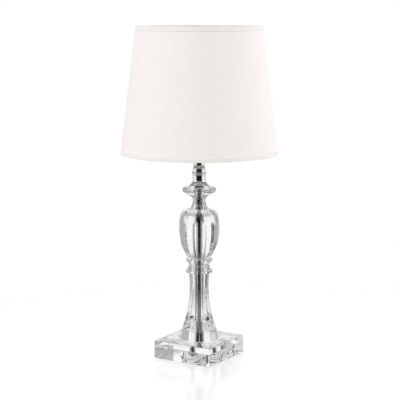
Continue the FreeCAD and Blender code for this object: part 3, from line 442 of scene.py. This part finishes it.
lining = moulded_plastic("lining", (0.85, 0.84, 0.825), (0.83, 0.82, 0.805), (0.5, 0.65))


# World, floor, lamps and camera


def linked(name, data):
    made = bpy.data.objects.new(name, data)
    bpy.context.collection.objects.link(made)
    return made


def object_from(bm, name):
    """An object with the bmesh's form, which is freed."""
    mesh = bpy.data.meshes.new(name)
    bm.to_mesh(mesh)
    bm.free()
    return linked(name, mesh)


def make_world():
    """White for the camera, soft light for dull faces, and lights in a dark room for the rest."""
    world = bpy.data.worlds.new("studio")
    bpy.context.scene.world = world
    world.use_nodes = True
    world.node_tree.nodes.clear()
    tree = Tree(world.node_tree)

    def ramp(given, stops, reach):
        """A level between stops; given runs from -reach to reach degrees, as 0 to 1."""
        made = tree.node("ShaderNodeValToRGB")
        tree.link(given, made.inputs[0])
        elements = made.color_ramp.elements
        while len(elements) < len(stops):
            elements.new(0.5)
        for element, (angle, level) in zip(elements, stops):
            element.position = (angle + reach) / (2 * reach)
            element.color = (level, level, level, 1.0)
        return made.outputs[0]

    across, along, up = tree.split(tree.node("ShaderNodeTexCoord").outputs["Generated"])
    bearing = tree.math("SUBTRACT", tree.math("ARCTAN2", along, across), CAMERA_SIDE)
    wrapped = tree.math("WRAP", bearing, math.pi, -math.pi)
    turned_to = tree.math("MULTIPLY_ADD", wrapped, 1 / TURN, 0.5)
    raised = tree.math("MULTIPLY_ADD", tree.math("ARCSINE", up), 1 / math.pi, 0.5)
    path = tree.node("ShaderNodeLightPath").outputs
    in_glass = ramp(turned_to, SEEN_IN_GLASS, reach=180)
    in_metal = ramp(turned_to, SEEN_IN_METAL, reach=180)
    seen = tree.between(path["Is Transmission Ray"], in_metal, in_glass)
    mirrored = tree.math("MULTIPLY", seen, ramp(raised, SEEN_BY_HEIGHT, reach=90))
    mirrored = tree.math("MAXIMUM", mirrored, ramp(raised, ABOVE_DARK_SIDE, reach=90))
    lit = tree.between(path["Is Diffuse Ray"], mirrored, ramp(raised, LIGHT_BY_HEIGHT, reach=90))
    background = tree.node("ShaderNodeBackground")
    background.inputs["Color"].default_value = (1.0, 1.0, 1.0, 1.0)
    tree.link(tree.between(path["Is Camera Ray"], lit, 1.0), background.inputs["Strength"])
    tree.link(background.outputs[0], tree.node("ShaderNodeOutputWorld").inputs["Surface"])


def make_floor():
    """A white sheet with the shadow and a faint reflection, which fades out into the background."""
    bm = bmesh.new()
    bmesh.ops.create_circle(bm, cap_ends=True, segments=FLOOR_SIDES, radius=FLOOR_RADIUS)
    floor = object_from(bm, "floor")
    material, tree = new_material(
        "white_floor",
        Base_Color=(0.5, 0.5, 0.5, 1.0),
        Roughness=0.14,
        IOR=1.38,
        Emission_Color=(1.0, 1.0, 1.0, 1.0),
    )
    across, along, _ = tree.split(tree.place())
    squares = [tree.math("MULTIPLY", part, part) for part in (across, along)]
    far = tree.math("SQRT", tree.math("ADD", *squares))
    path = tree.node("ShaderNodeLightPath").outputs
    direct = tree.math("MULTIPLY", path["Is Camera Ray"], FLOOR_LIFT)
    # Painted light: an even glow for the camera, and seen through glass a glow that is strongest near
    # the lamp and fades out between FLOOR_DIMS
    through = tree.spread(far, FLOOR_DIMS, FLOOR_GLOW_IN_GLASS)
    floor_glow = tree.math("MULTIPLY_ADD", path["Is Transmission Ray"], through, direct)
    tree.feed("Emission Strength", floor_glow)
    rim = (FLOOR_RADIUS - FLOOR_FADE, FLOOR_RADIUS)
    tree.see_through(tree.spread(far, rim, (0.0, 1.0), interpolation_type="SMOOTHSTEP"))
    floor.data.materials.append(material)


def beside(angle, distance, height):
    return (distance * math.cos(angle), distance * math.sin(angle), height)


def make_lamp(name, bearing, energy):
    """A soft lamp that faces the middle of the object."""
    light = bpy.data.lights.new(name, "AREA")
    light.shape = "RECTANGLE"
    light.size, light.size_y = LAMP_SIZE
    light.energy = energy
    lamp = linked(name, light)
    lamp.location = beside(CAMERA_SIDE + math.radians(bearing), LAMP_DISTANCE, LAMP_HEIGHT)
    lamp.rotation_mode = "QUATERNION"
    lamp.rotation_quaternion = (LAMP_AIM - lamp.location).to_track_quat("-Z", "Y")
    lamp.visible_camera = False
    lamp.visible_transmission = False


def make_camera():
    data = bpy.data.cameras.new("camera")
    data.sensor_width = SENSOR_WIDTH
    data.lens = LENS
    data.shift_x = 0.5 - AXIS_PIXEL / FRAME_PIXELS
    camera = linked("camera", data)
    camera.location = beside(CAMERA_SIDE, CAMERA_DISTANCE, CAMERA_HEIGHT)
    camera.rotation_euler = (math.pi / 2 - CAMERA_PITCH, 0.0, CAMERA_AZIMUTH)
    bpy.context.scene.camera = camera


def allow_long_paths():
    """Light turns back many times inside cut glass before it comes out."""
    cycles = bpy.context.scene.cycles
    cycles.max_bounces = GLASS_BOUNCES
    cycles.glossy_bounces = GLASS_BOUNCES
    cycles.transmission_bounces = GLASS_BOUNCES
    cycles.transparent_max_bounces = CLEAR_BOUNCES


# Geometry


def piece_from(bm, name, material, body, replaces, smooth_below=30.0):
    """An object from a bmesh, which rides on a body and stands for CAD nodes."""
    piece = object_from(bm, name)
    mesh = piece.data
    mesh.materials.append(material)
    mesh.shade_smooth()
    mesh.set_sharp_from_angle(angle=math.radians(smooth_below))
    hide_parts(*replaces)
    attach(piece, body)
    return piece


def soften(bm, width, above, segments=2):
    """Rounds every edge that is sharper than an angle in degrees; width is in millimetres."""
    limit = math.radians(above)
    sharp = [e for e in bm.edges if len(e.link_faces) == 2 and e.calc_face_angle(0.0) > limit]
    bmesh.ops.bevel(
        bm,
        geom=sharp,
        offset=width * MM,
        offset_type="OFFSET",
        segments=segments,
        profile=0.5,
        affect="EDGES",
        clamp_overlap=True,
    )


def merge_flats(bm, flat_angle):
    """Joins points that coincide and faces that lie in one plane, and turns all faces outward."""
    bmesh.ops.remove_doubles(bm, verts=bm.verts, dist=WELD * MM)
    bmesh.ops.dissolve_limit(
        bm, angle_limit=math.radians(flat_angle), verts=bm.verts, edges=bm.edges
    )
    bmesh.ops.recalc_face_normals(bm, faces=bm.faces)


def welded_copy(node):
    """The node's own mesh with the vertices that its shading split joined again."""
    bm = bmesh.new()
    bm.from_mesh(nodes[node].data)
    merge_flats(bm, FLAT_IN_CAD)
    return bm


def copied(node, material, body="stand", width=0.3, above=30.0, segments=2):
    """A CAD piece with its edges rounded."""
    bm = welded_copy(node)
    soften(bm, width, above, segments)
    piece_from(bm, f"{node}_finished", material, body, [node], smooth_below=above)


def eased(sections):
    """More (radius, height) points on the natural cubic curve through the sections."""
    count = len(sections)
    heights = [height for radius, height in sections]
    radii = [radius for radius, height in sections]
    spans = [heights[i + 1] - heights[i] for i in range(count - 1)]
    upper = [0.0] * count
    rise = [0.0] * count
    for i in range(1, count - 1):
        slope = (radii[i + 1] - radii[i]) / spans[i] - (radii[i] - radii[i - 1]) / spans[i - 1]
        pivot = 2 * (spans[i - 1] + spans[i]) - spans[i - 1] * upper[i - 1]
        upper[i] = spans[i] / pivot
        rise[i] = (6 * slope - spans[i - 1] * rise[i - 1]) / pivot
    bend = [0.0] * count
    for i in range(count - 2, 0, -1):
        bend[i] = rise[i] - upper[i] * bend[i + 1]
    points = []
    for i in range(count - 1):
        pieces = max(1, round(spans[i] / RING_STEP))
        for piece in range(pieces):
            ahead = spans[i] * piece / pieces
            left = spans[i] - ahead
            radius = (bend[i] * left ** 3 + bend[i + 1] * ahead ** 3) / (6 * spans[i])
            radius += (radii[i] / spans[i] - bend[i] * spans[i] / 6) * left
            radius += (radii[i + 1] / spans[i] - bend[i + 1] * spans[i] / 6) * ahead
            points.append((radius, heights[i] + ahead))
    return points + [sections[-1]]


def on_turn(radius, height, angle, seat):
    """A point in metres from millimetres above a seat, which is in metres."""
    return (radius * math.cos(angle) * MM, radius * math.sin(angle) * MM, seat + height * MM)


def ring_stack(sections, sides, turn, seat):
    """A closed solid object through level rings; its object is only used to cut or be cut."""
    bm = bmesh.new()
    rings = [
        [bm.verts.new(on_turn(*section, turn + TURN * index / sides, seat)) for index in range(sides)]
        for section in sections
    ]
    for low, high in zip(rings, rings[1:]):
        for index in range(sides):
            other = (index + 1) % sides
            bm.faces.new((low[index], low[other], high[other], high[index]))
    bm.faces.new(reversed(rings[0]))
    bm.faces.new(rings[-1])
    return object_from(bm, "ring_stack")


def cut_by(base, *cuts):
    """A bmesh of the base after each (operation, tool), and the helper objects removed."""
    for operation, tool in cuts:
        modifier = base.modifiers.new("cut", "BOOLEAN")
        modifier.operation = operation
        modifier.object = tool
        modifier.solver = "EXACT"
    evaluated = base.evaluated_get(bpy.context.evaluated_depsgraph_get())
    bm = bmesh.new()
    bm.from_mesh(evaluated.to_mesh())
    evaluated.to_mesh_clear()
    for helper in [base] + [tool for operation, tool in cuts]:
        mesh = helper.data
        bpy.data.objects.remove(helper)
        bpy.data.meshes.remove(mesh)
    merge_flats(bm, FLAT_IN_GLASS)
    return bm


def trimmed(sections):
    """The sections with a hair of air left at both ends, so that no two glass faces coincide."""
    (low_radius, low), *middle, (high_radius, high) = sections
    return [(low_radius, low + AIR_GAP), *middle, (high_radius, high - AIR_GAP)]


def glass_piece(bm, node, edges):
    width, above, smooth_below = edges
    soften(bm, width, above)
    piece_from(bm, f"{node}_glass", crystal, "stand", [node], smooth_below)


def facet_glass(node, sections, over=None):
    """A bored glass piece of flat-sided rings, which a second stack half a step round may cut."""
    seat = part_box(node)[0][2]
    height = sections[-1][1]
    body = ring_stack(trimmed(sections), FACETS, FACET_ANGLE, seat)
    cuts = []
    if over:
        wider = [(over[0][0], -OVERRUN), *over[1:]]
        cuts.append(("INTERSECT", ring_stack(wider, FACETS, FACET_ANGLE + HALF_STEP, seat)))
    bore = [(BORE_RADIUS, -OVERRUN), (BORE_RADIUS, height + OVERRUN)]
    cuts.append(("DIFFERENCE", ring_stack(bore, BORE_SIDES, 0.0, seat)))
    glass_piece(cut_by(body, *cuts), node, FACET_EDGES)


def slab_glass(node):
    """A square slab, as cut, with its ends drawn in by a hair."""
    low, high = (corner[2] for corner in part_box(node))
    near = AIR_GAP / 4 * MM
    bm = welded_copy(node)
    for vert in bm.verts:
        if vert.co.z < low + near:
            vert.co.z += AIR_GAP * MM
        elif vert.co.z > high - near:
            vert.co.z -= AIR_GAP * MM
    glass_piece(bm, node, SLAB_EDGES)


def arc(start, end, radius, bulge, steps):
    """Points from start to just before end; bulge is 1 where the arc lies left of that line."""
    across, up = end[0] - start[0], end[1] - start[1]
    chord = math.hypot(across, up)
    half = math.asin(min(1.0, chord / (2 * radius)))
    middle = ((start[0] + end[0]) / 2, (start[1] + end[1]) / 2)
    reach = radius * math.cos(half)
    left = (-up / chord, across / chord)
    centre = (middle[0] - left[0] * reach * bulge, middle[1] - left[1] * reach * bulge)
    first = math.atan2(start[1] - centre[1], start[0] - centre[0])
    sweep = -2 * half * bulge
    points = []
    for step in range(steps):
        angle = first + sweep * step / steps
        points.append((centre[0] + radius * math.cos(angle), centre[1] + radius * math.sin(angle)))
    return points


def dense(start, end, step):
    """Points from start to just before end, no further apart than a step."""
    span = math.dist(start, end)
    pieces = max(1, math.ceil(span / step))
    return [
        (start[0] + (end[0] - start[0]) * i / pieces, start[1] + (end[1] - start[1]) * i / pieces)
        for i in range(pieces)
    ]


def lathe(outline, seat, segments, shape=None):
    """A closed outline turned about Z above a seat, which is in metres. shape(radius, height, angle)
    gives the radius where it isn't plainly round."""
    bm = bmesh.new()
    columns = []
    for index in range(segments):
        angle = TURN * index / segments
        column = []
        for radius, height in outline:
            reach = shape(radius, height, angle) if shape else radius
            column.append(bm.verts.new(on_turn(reach, height, angle, seat)))
        columns.append(column)
    for index, column in enumerate(columns):
        following = columns[(index + 1) % segments]
        for point in range(len(outline)):
            other = (point + 1) % len(outline)
            bm.faces.new((column[point], following[point], following[other], column[other]))
    bmesh.ops.remove_doubles(bm, verts=bm.verts, dist=TURNED_WELD * MM)
    bmesh.ops.dissolve_degenerate(bm, dist=TURNED_SLIVER * MM, edges=bm.edges)
    bmesh.ops.recalc_face_normals(bm, faces=bm.faces)
    return bm


def turned(
    node, outline, material, body="stand", width=0.15, above=25.0, segments=96, shape=None
):
    """A turned piece in place of a CAD node, with its corners rounded."""
    bm = lathe(outline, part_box(node)[0][2], segments, shape)
    if width:
        soften(bm, width, above)
    return piece_from(bm, f"{node}_turned", material, body, [node], smooth_below=above)


def screw_thread(low, high, pitch, depth, least=0.0, most=math.inf):
    """The shape of a helical thread cut into every wall between two heights and two radii."""

    def shape(radius, height, angle):
        if not (low <= height <= high and least <= radius <= most):
            return radius
        ends = min(1.0, (height - low) / pitch, (high - height) / pitch)
        wave = math.cos(TURN * height / pitch - angle)
        return radius - depth * ends * (0.5 - 0.5 * wave)

    return shape


def washer_outline(node, hole, radius):
    low, high = (corner[2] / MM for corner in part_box(node))
    return [(hole, 0.0), (radius, 0.0), (radius, high - low), (hole, high - low)]


def torus_outline(radius, wire):
    """Round a wire's section, as far above its lowest point as its own radius."""
    angles = [TURN * i / WIRE_SIDES for i in range(WIRE_SIDES)]
    return [(radius + wire * math.cos(a), wire + wire * math.sin(a)) for a in angles]


def make_glass():
    slab_glass("base_block")
    slab_glass("base_plate")
    facet_glass("column", eased(STEM), FOOT)
    facet_glass("collar", COLLAR)
    facet_glass("urn", [*URN_HEEL, *eased(URN)], SHOULDER)
    facet_glass("neck_cone", CONE)
    facet_glass("neck_disc", DISC)
    facet_glass("dish", DISH)


def make_soft_fittings():
    """Clear pads, gaskets, the recess's cover and the bush in the cord's inlet."""
    pads = bmesh.new()
    for across in (-1, 1):
        for along in (-1, 1):
            pad = lathe(PAD, seat=0.0, segments=40)
            soften(pad, width=0.35, above=25.0)
            offset = (across * PAD_OFFSET * MM, along * PAD_OFFSET * MM, 0.0)
            bmesh.ops.translate(pad, verts=pad.verts, vec=offset)
            mesh = bpy.data.meshes.new("pad")
            pad.to_mesh(mesh)
            pad.free()
            pads.from_mesh(mesh)
            bpy.data.meshes.remove(mesh)
    piece_from(pads, "foot_pads_moulded", vinyl, "stand", ["foot_pads"])
    for name, radius in GASKET_RADII:
        node = f"{name}_gasket"
        turned(node, washer_outline(node, BORE_RADIUS, radius), vinyl, width=0.1)
    cover = washer_outline("recess_cover", 0.0, COVER_RADIUS)
    turned("recess_cover", cover, vinyl, width=0.2)
    bush = lathe(BUSH, seat=0.0, segments=48)
    soften(bush, width=0.3, above=25.0)
    low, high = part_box("cord_grommet")
    for vert in bush.verts:
        across, along, out = vert.co
        vert.co = (across, high[1] - out, along + (low[2] + high[2]) / 2)
    bmesh.ops.recalc_face_normals(bush, faces=bush.faces)
    piece_from(bush, "cord_bush", vinyl, "stand", ["cord_grommet"])


def make_rod():
    """Hollow rod, plain where the glass shows it and finely threaded where nuts and shells screw on."""
    low, high = (corner[2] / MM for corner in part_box("threaded_tube"))
    length = high - low
    lower_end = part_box("base_plate")[0][2] / MM - low
    upper_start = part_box("dish")[1][2] / MM - low
    outline = [
        (ROD_HOLLOW, 0.0),
        *dense((ROD_RADIUS, 0.0), (ROD_RADIUS, lower_end), THREAD_STEP),
        *dense((ROD_RADIUS, lower_end), (ROD_RADIUS, upper_start), PLAIN_STEP),
        *dense((ROD_RADIUS, upper_start), (ROD_RADIUS, length), THREAD_STEP),
        (ROD_RADIUS, length),
        (ROD_HOLLOW, length),
    ]
    lower = screw_thread(0.0, lower_end, ROD_PITCH, ROD_THREAD, ROD_THREAD_LEAST)
    upper = screw_thread(upper_start, length, ROD_PITCH, ROD_THREAD, ROD_THREAD_LEAST)

    def threads(radius, height, angle):
        return upper(lower(radius, height, angle), height, angle)

    turned(
        "threaded_tube",
        outline,
        rod_steel,
        width=0.0,
        segments=48,
        above=70.0,
        shape=threads,
    )
    for node, radius in WASHER_RADII:
        turned(node, washer_outline(node, METAL_BORE, radius), zinc)
    for node in ("clamp_nut", "stack_nut", "spring_washer"):
        copied(node, zinc)


def make_chrome_neck():
    bell = [
        (15.7, 0.0),
        (16.9, 0.0),
        (16.9, 2.8),
        (16.2, 3.5),
        *arc((15.6, 3.7), (10.6, 13.4), radius=11.4, bulge=1, steps=24),
        (10.6, 13.4),
        (10.6, 19.0),
        (METAL_BORE, 19.0),
        (METAL_BORE, 17.8),
        (9.85, 17.8),
        *arc((9.85, 13.2), (14.7, 3.2), radius=12.2, bulge=-1, steps=24),
        (14.7, 3.2),
        (15.7, 2.6),
    ]
    bead = [
        (METAL_BORE, 0.0),
        (10.6, 0.0),
        (10.6, 0.9),
        *arc((11.3, 1.1), (11.3, 4.6), radius=3.0, bulge=-1, steps=16),
        (11.3, 4.6),
        (10.6, 4.8),
        (10.6, 5.7),
        (METAL_BORE, 5.7),
    ]
    sleeve = [
        (METAL_BORE, 0.0),
        (10.8, 0.0),
        (10.4, 4.2),
        (9.6, 4.2),
        (9.6, 5.4),
        (10.4, 5.4),
        (9.0, 10.5),
        (9.0, 18.0),
        (METAL_BORE, 18.0),
    ]
    for node, outline, width, above in (
        ("neck_cap", bell, 0.25, 12.0),
        ("neck_ring", bead, 0.15, 14.0),
        ("neck_sleeve", sleeve, 0.2, 12.0),
    ):
        turned(node, outline, chrome, width=width, above=above, segments=128)


def ribbed(radius, height, angle):
    """The shape of the shade ring's grip."""
    if not GRIP[0] <= radius <= GRIP[1]:
        return radius
    return radius - RIB_DEPTH * (0.5 + 0.5 * math.cos(RIBS * angle)) ** 3


def make_lampholder():
    copied("holder_cap", white_plastic, width=0.6, above=25.0, segments=3)
    copied("push_bar", dark_plastic, "switch_bar", width=0.5, segments=3)
    copied("holder_insert", ceramic)
    skirt = [
        (18.0, 0.0),
        (23.0, 0.0),
        (23.0, 2.4),
        *dense((19.8, 2.4), (19.8, 31.0), step=0.4),
        (19.8, 31.0),
        (15.2, 31.0),
        (15.2, 29.6),
        (18.0, 29.6),
    ]
    thread = screw_thread(3.6, 30.4, pitch=2.6, depth=0.6, least=19.0, most=20.5)
    turned(
        "holder_skirt", skirt, white_plastic, above=50.0, width=0.25, shape=thread
    )
    shell = [
        (6.0, 0.0),
        (13.8, 0.0),
        *dense((13.8, 0.8), (13.8, 24.0), step=0.4),
        (13.8, 24.0),
        (13.4, 24.0),
        (13.4, 0.4),
        (6.0, 0.4),
    ]
    turned("screw_shell", shell, brass, width=0.0, above=50.0)
    copied("centre_contact", brass, width=0.12)
    copied("terminal_screws", brass)
    turned(
        "shade_ring",
        [(20.1, 0.0), (25.5, 0.0), (25.5, 2.0), (22.6, 2.0), (22.6, 9.0), (20.1, 9.0)],
        white_plastic,
        "shade_ring",
        width=0.3,
        segments=RIBS * RIB_SEGMENTS,
        shape=ribbed,
    )


def make_bulb():
    contact = [(0.0, 0.0), (2.4, 0.0), (3.6, 0.6), (3.6, 1.0), (0.0, 1.0)]
    turned("bulb_contact", contact, bulb_metal, "bulb", width=0.25, segments=40)
    copied("bulb_insulator", ceramic, "bulb")
    cap = [
        (12.7, 0.0),
        *dense((13.1, 0.0), (13.1, 22.5), step=0.35),
        (13.1, 22.5),
        *dense((12.7, 22.5), (12.7, 0.0), step=0.35)[:-1],
    ]
    thread = screw_thread(0.6, 16.0, pitch=3.6, depth=0.9)
    turned("bulb_cap", cap, bulb_metal, "bulb", width=0.0, above=60.0, shape=thread)
    envelope = [
        (11.8, 0.0),
        (12.6, 0.0),
        *arc((12.6, 6.0), (17.5, 25.0), radius=40.0, bulge=-1, steps=16),
        *arc((17.5, 25.0), (5.0, 66.0), radius=75.0, bulge=-1, steps=24),
        *arc((5.0, 66.0), (1.6, 72.8), radius=12.0, bulge=-1, steps=8),
        (1.6, 72.8),
        (0.0, 74.0),
        (0.0, 73.2),
        *arc((1.6, 72.0), (4.2, 66.0), radius=11.2, bulge=1, steps=8),
        *arc((4.2, 66.0), (16.7, 25.0), radius=74.2, bulge=1, steps=24),
        *arc((16.7, 25.0), (11.8, 6.0), radius=39.2, bulge=1, steps=16),
        (11.8, 6.0),
    ]
    turned("bulb_envelope", envelope, opal, "bulb", width=0.2, above=35.0, segments=80)


def shade_wave(radius, height, angle):
    """The cloth's slight unevenness, and the lap of its seam at the back."""
    broad = BROAD_RIPPLE * math.sin(5 * angle + 0.6)
    fine = FINE_RIPPLE * math.sin(13 * angle + 2.1 + height / 90)
    away = (angle - SEAM_ANGLE + math.pi) % TURN - math.pi
    along = away * radius
    lap = SEAM_LIFT * (1 - along / SEAM_WIDTH) if 0 <= along <= SEAM_WIDTH else 0.0
    return radius + max(broad + fine, 0.0) + lap


def make_shade():
    top = TOP_EDGE - EDGE
    inner_low, inner_high = SHADE_LOW - CLOTH, SHADE_HIGH - CLOTH
    outline = [
        *dense((inner_low, 0.0), (SHADE_LOW, 0.0), step=1.0),
        *dense((SHADE_LOW, 0.0), (SHADE_HIGH, top), step=8.0),
        (SHADE_HIGH, top),
        *dense((inner_high, top), (inner_low, 0.0), step=8.0)[:-1],
    ]
    cloth = turned(
        "shade_fabric",
        outline,
        fabric,
        "shade",
        width=0.0,
        segments=256,
        shape=shade_wave,
        above=40.0,
    )
    outer_low, outer_high = inner_low - FIT, inner_high - FIT
    wall = [
        (outer_low - LINING, 0.0),
        (outer_low, 0.0),
        *dense((outer_low, 0.0), (outer_high, top), step=10.0)[1:],
        (outer_high, top),
        (outer_high - LINING, top),
    ]
    turned("shade_liner", wall, lining, "shade", width=0.1, segments=192)
    # Tapes of the same cloth, folded round both edges; their copy of the cloth is drawn a little darker
    # as painted shade
    for node, folded in (
        ("shade_bottom_trim", bottom_trim_outline()),
        ("shade_top_trim", top_trim_outline()),
    ):
        turned(node, folded, shaded_tape, "shade", width=0.2, above=30.0, segments=256)
    for node in ("shade_bottom_ring", "shade_top_ring"):
        low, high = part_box(node)
        radius = (high[0] - low[0]) / 2 / MM - WIRE / 2
        ring = torus_outline(radius, WIRE / 2)
        turned(node, ring, enamel, "shade", width=0.0, segments=192, above=80.0)
    copied("shade_spider", enamel, "shade", width=0.25, above=25.0)


def bottom_trim_outline():
    inner = BOTTOM_FOLD - TAPE
    lip_low = SHADE_LOW + FIT
    lip_high = lip_low - SLOPE * TAPE_LIP
    top = TAPE_LIP + TAPE
    return [
        (inner, 0.0),
        (lip_low + TAPE, 0.0),
        *dense((lip_low + TAPE, 0.3), (lip_high + TAPE, top), TAPE_STEP)[1:],
        (lip_high + TAPE, top),
        (lip_high, top),
        (lip_low, TAPE),
        (BOTTOM_FOLD, TAPE),
        (BOTTOM_FOLD, TAPE + TAPE_HEM),
        (inner, TAPE + TAPE_HEM),
    ]


def top_trim_outline():
    inner = TOP_FOLD - TAPE
    lip_high = SHADE_HIGH + FIT
    lip_low = lip_high + SLOPE * TAPE_LIP
    top = TAPE_LIP + TAPE
    return [
        (inner, top),
        (inner, TAPE_LIP - TAPE_HEM),
        (TOP_FOLD, TAPE_LIP - TAPE_HEM),
        (TOP_FOLD, TAPE_LIP),
        (lip_high, TAPE_LIP),
        (lip_low, 0.0),
        (lip_low + TAPE, 0.0),
        *dense((lip_low + TAPE, 0.0), (lip_high + TAPE, 7.2), TAPE_STEP)[1:],
        (lip_high + TAPE, top),
    ]


allow_long_paths()
make_camera()
make_world()
make_floor()
for lamp_name, lamp_bearing, lamp_energy in LAMPS:
    make_lamp(lamp_name, lamp_bearing, lamp_energy)
make_glass()
make_soft_fittings()
make_rod()
make_chrome_neck()
make_lampholder()
make_bulb()
make_shade()

bpy.context.scene.view_settings.view_transform = "Standard"
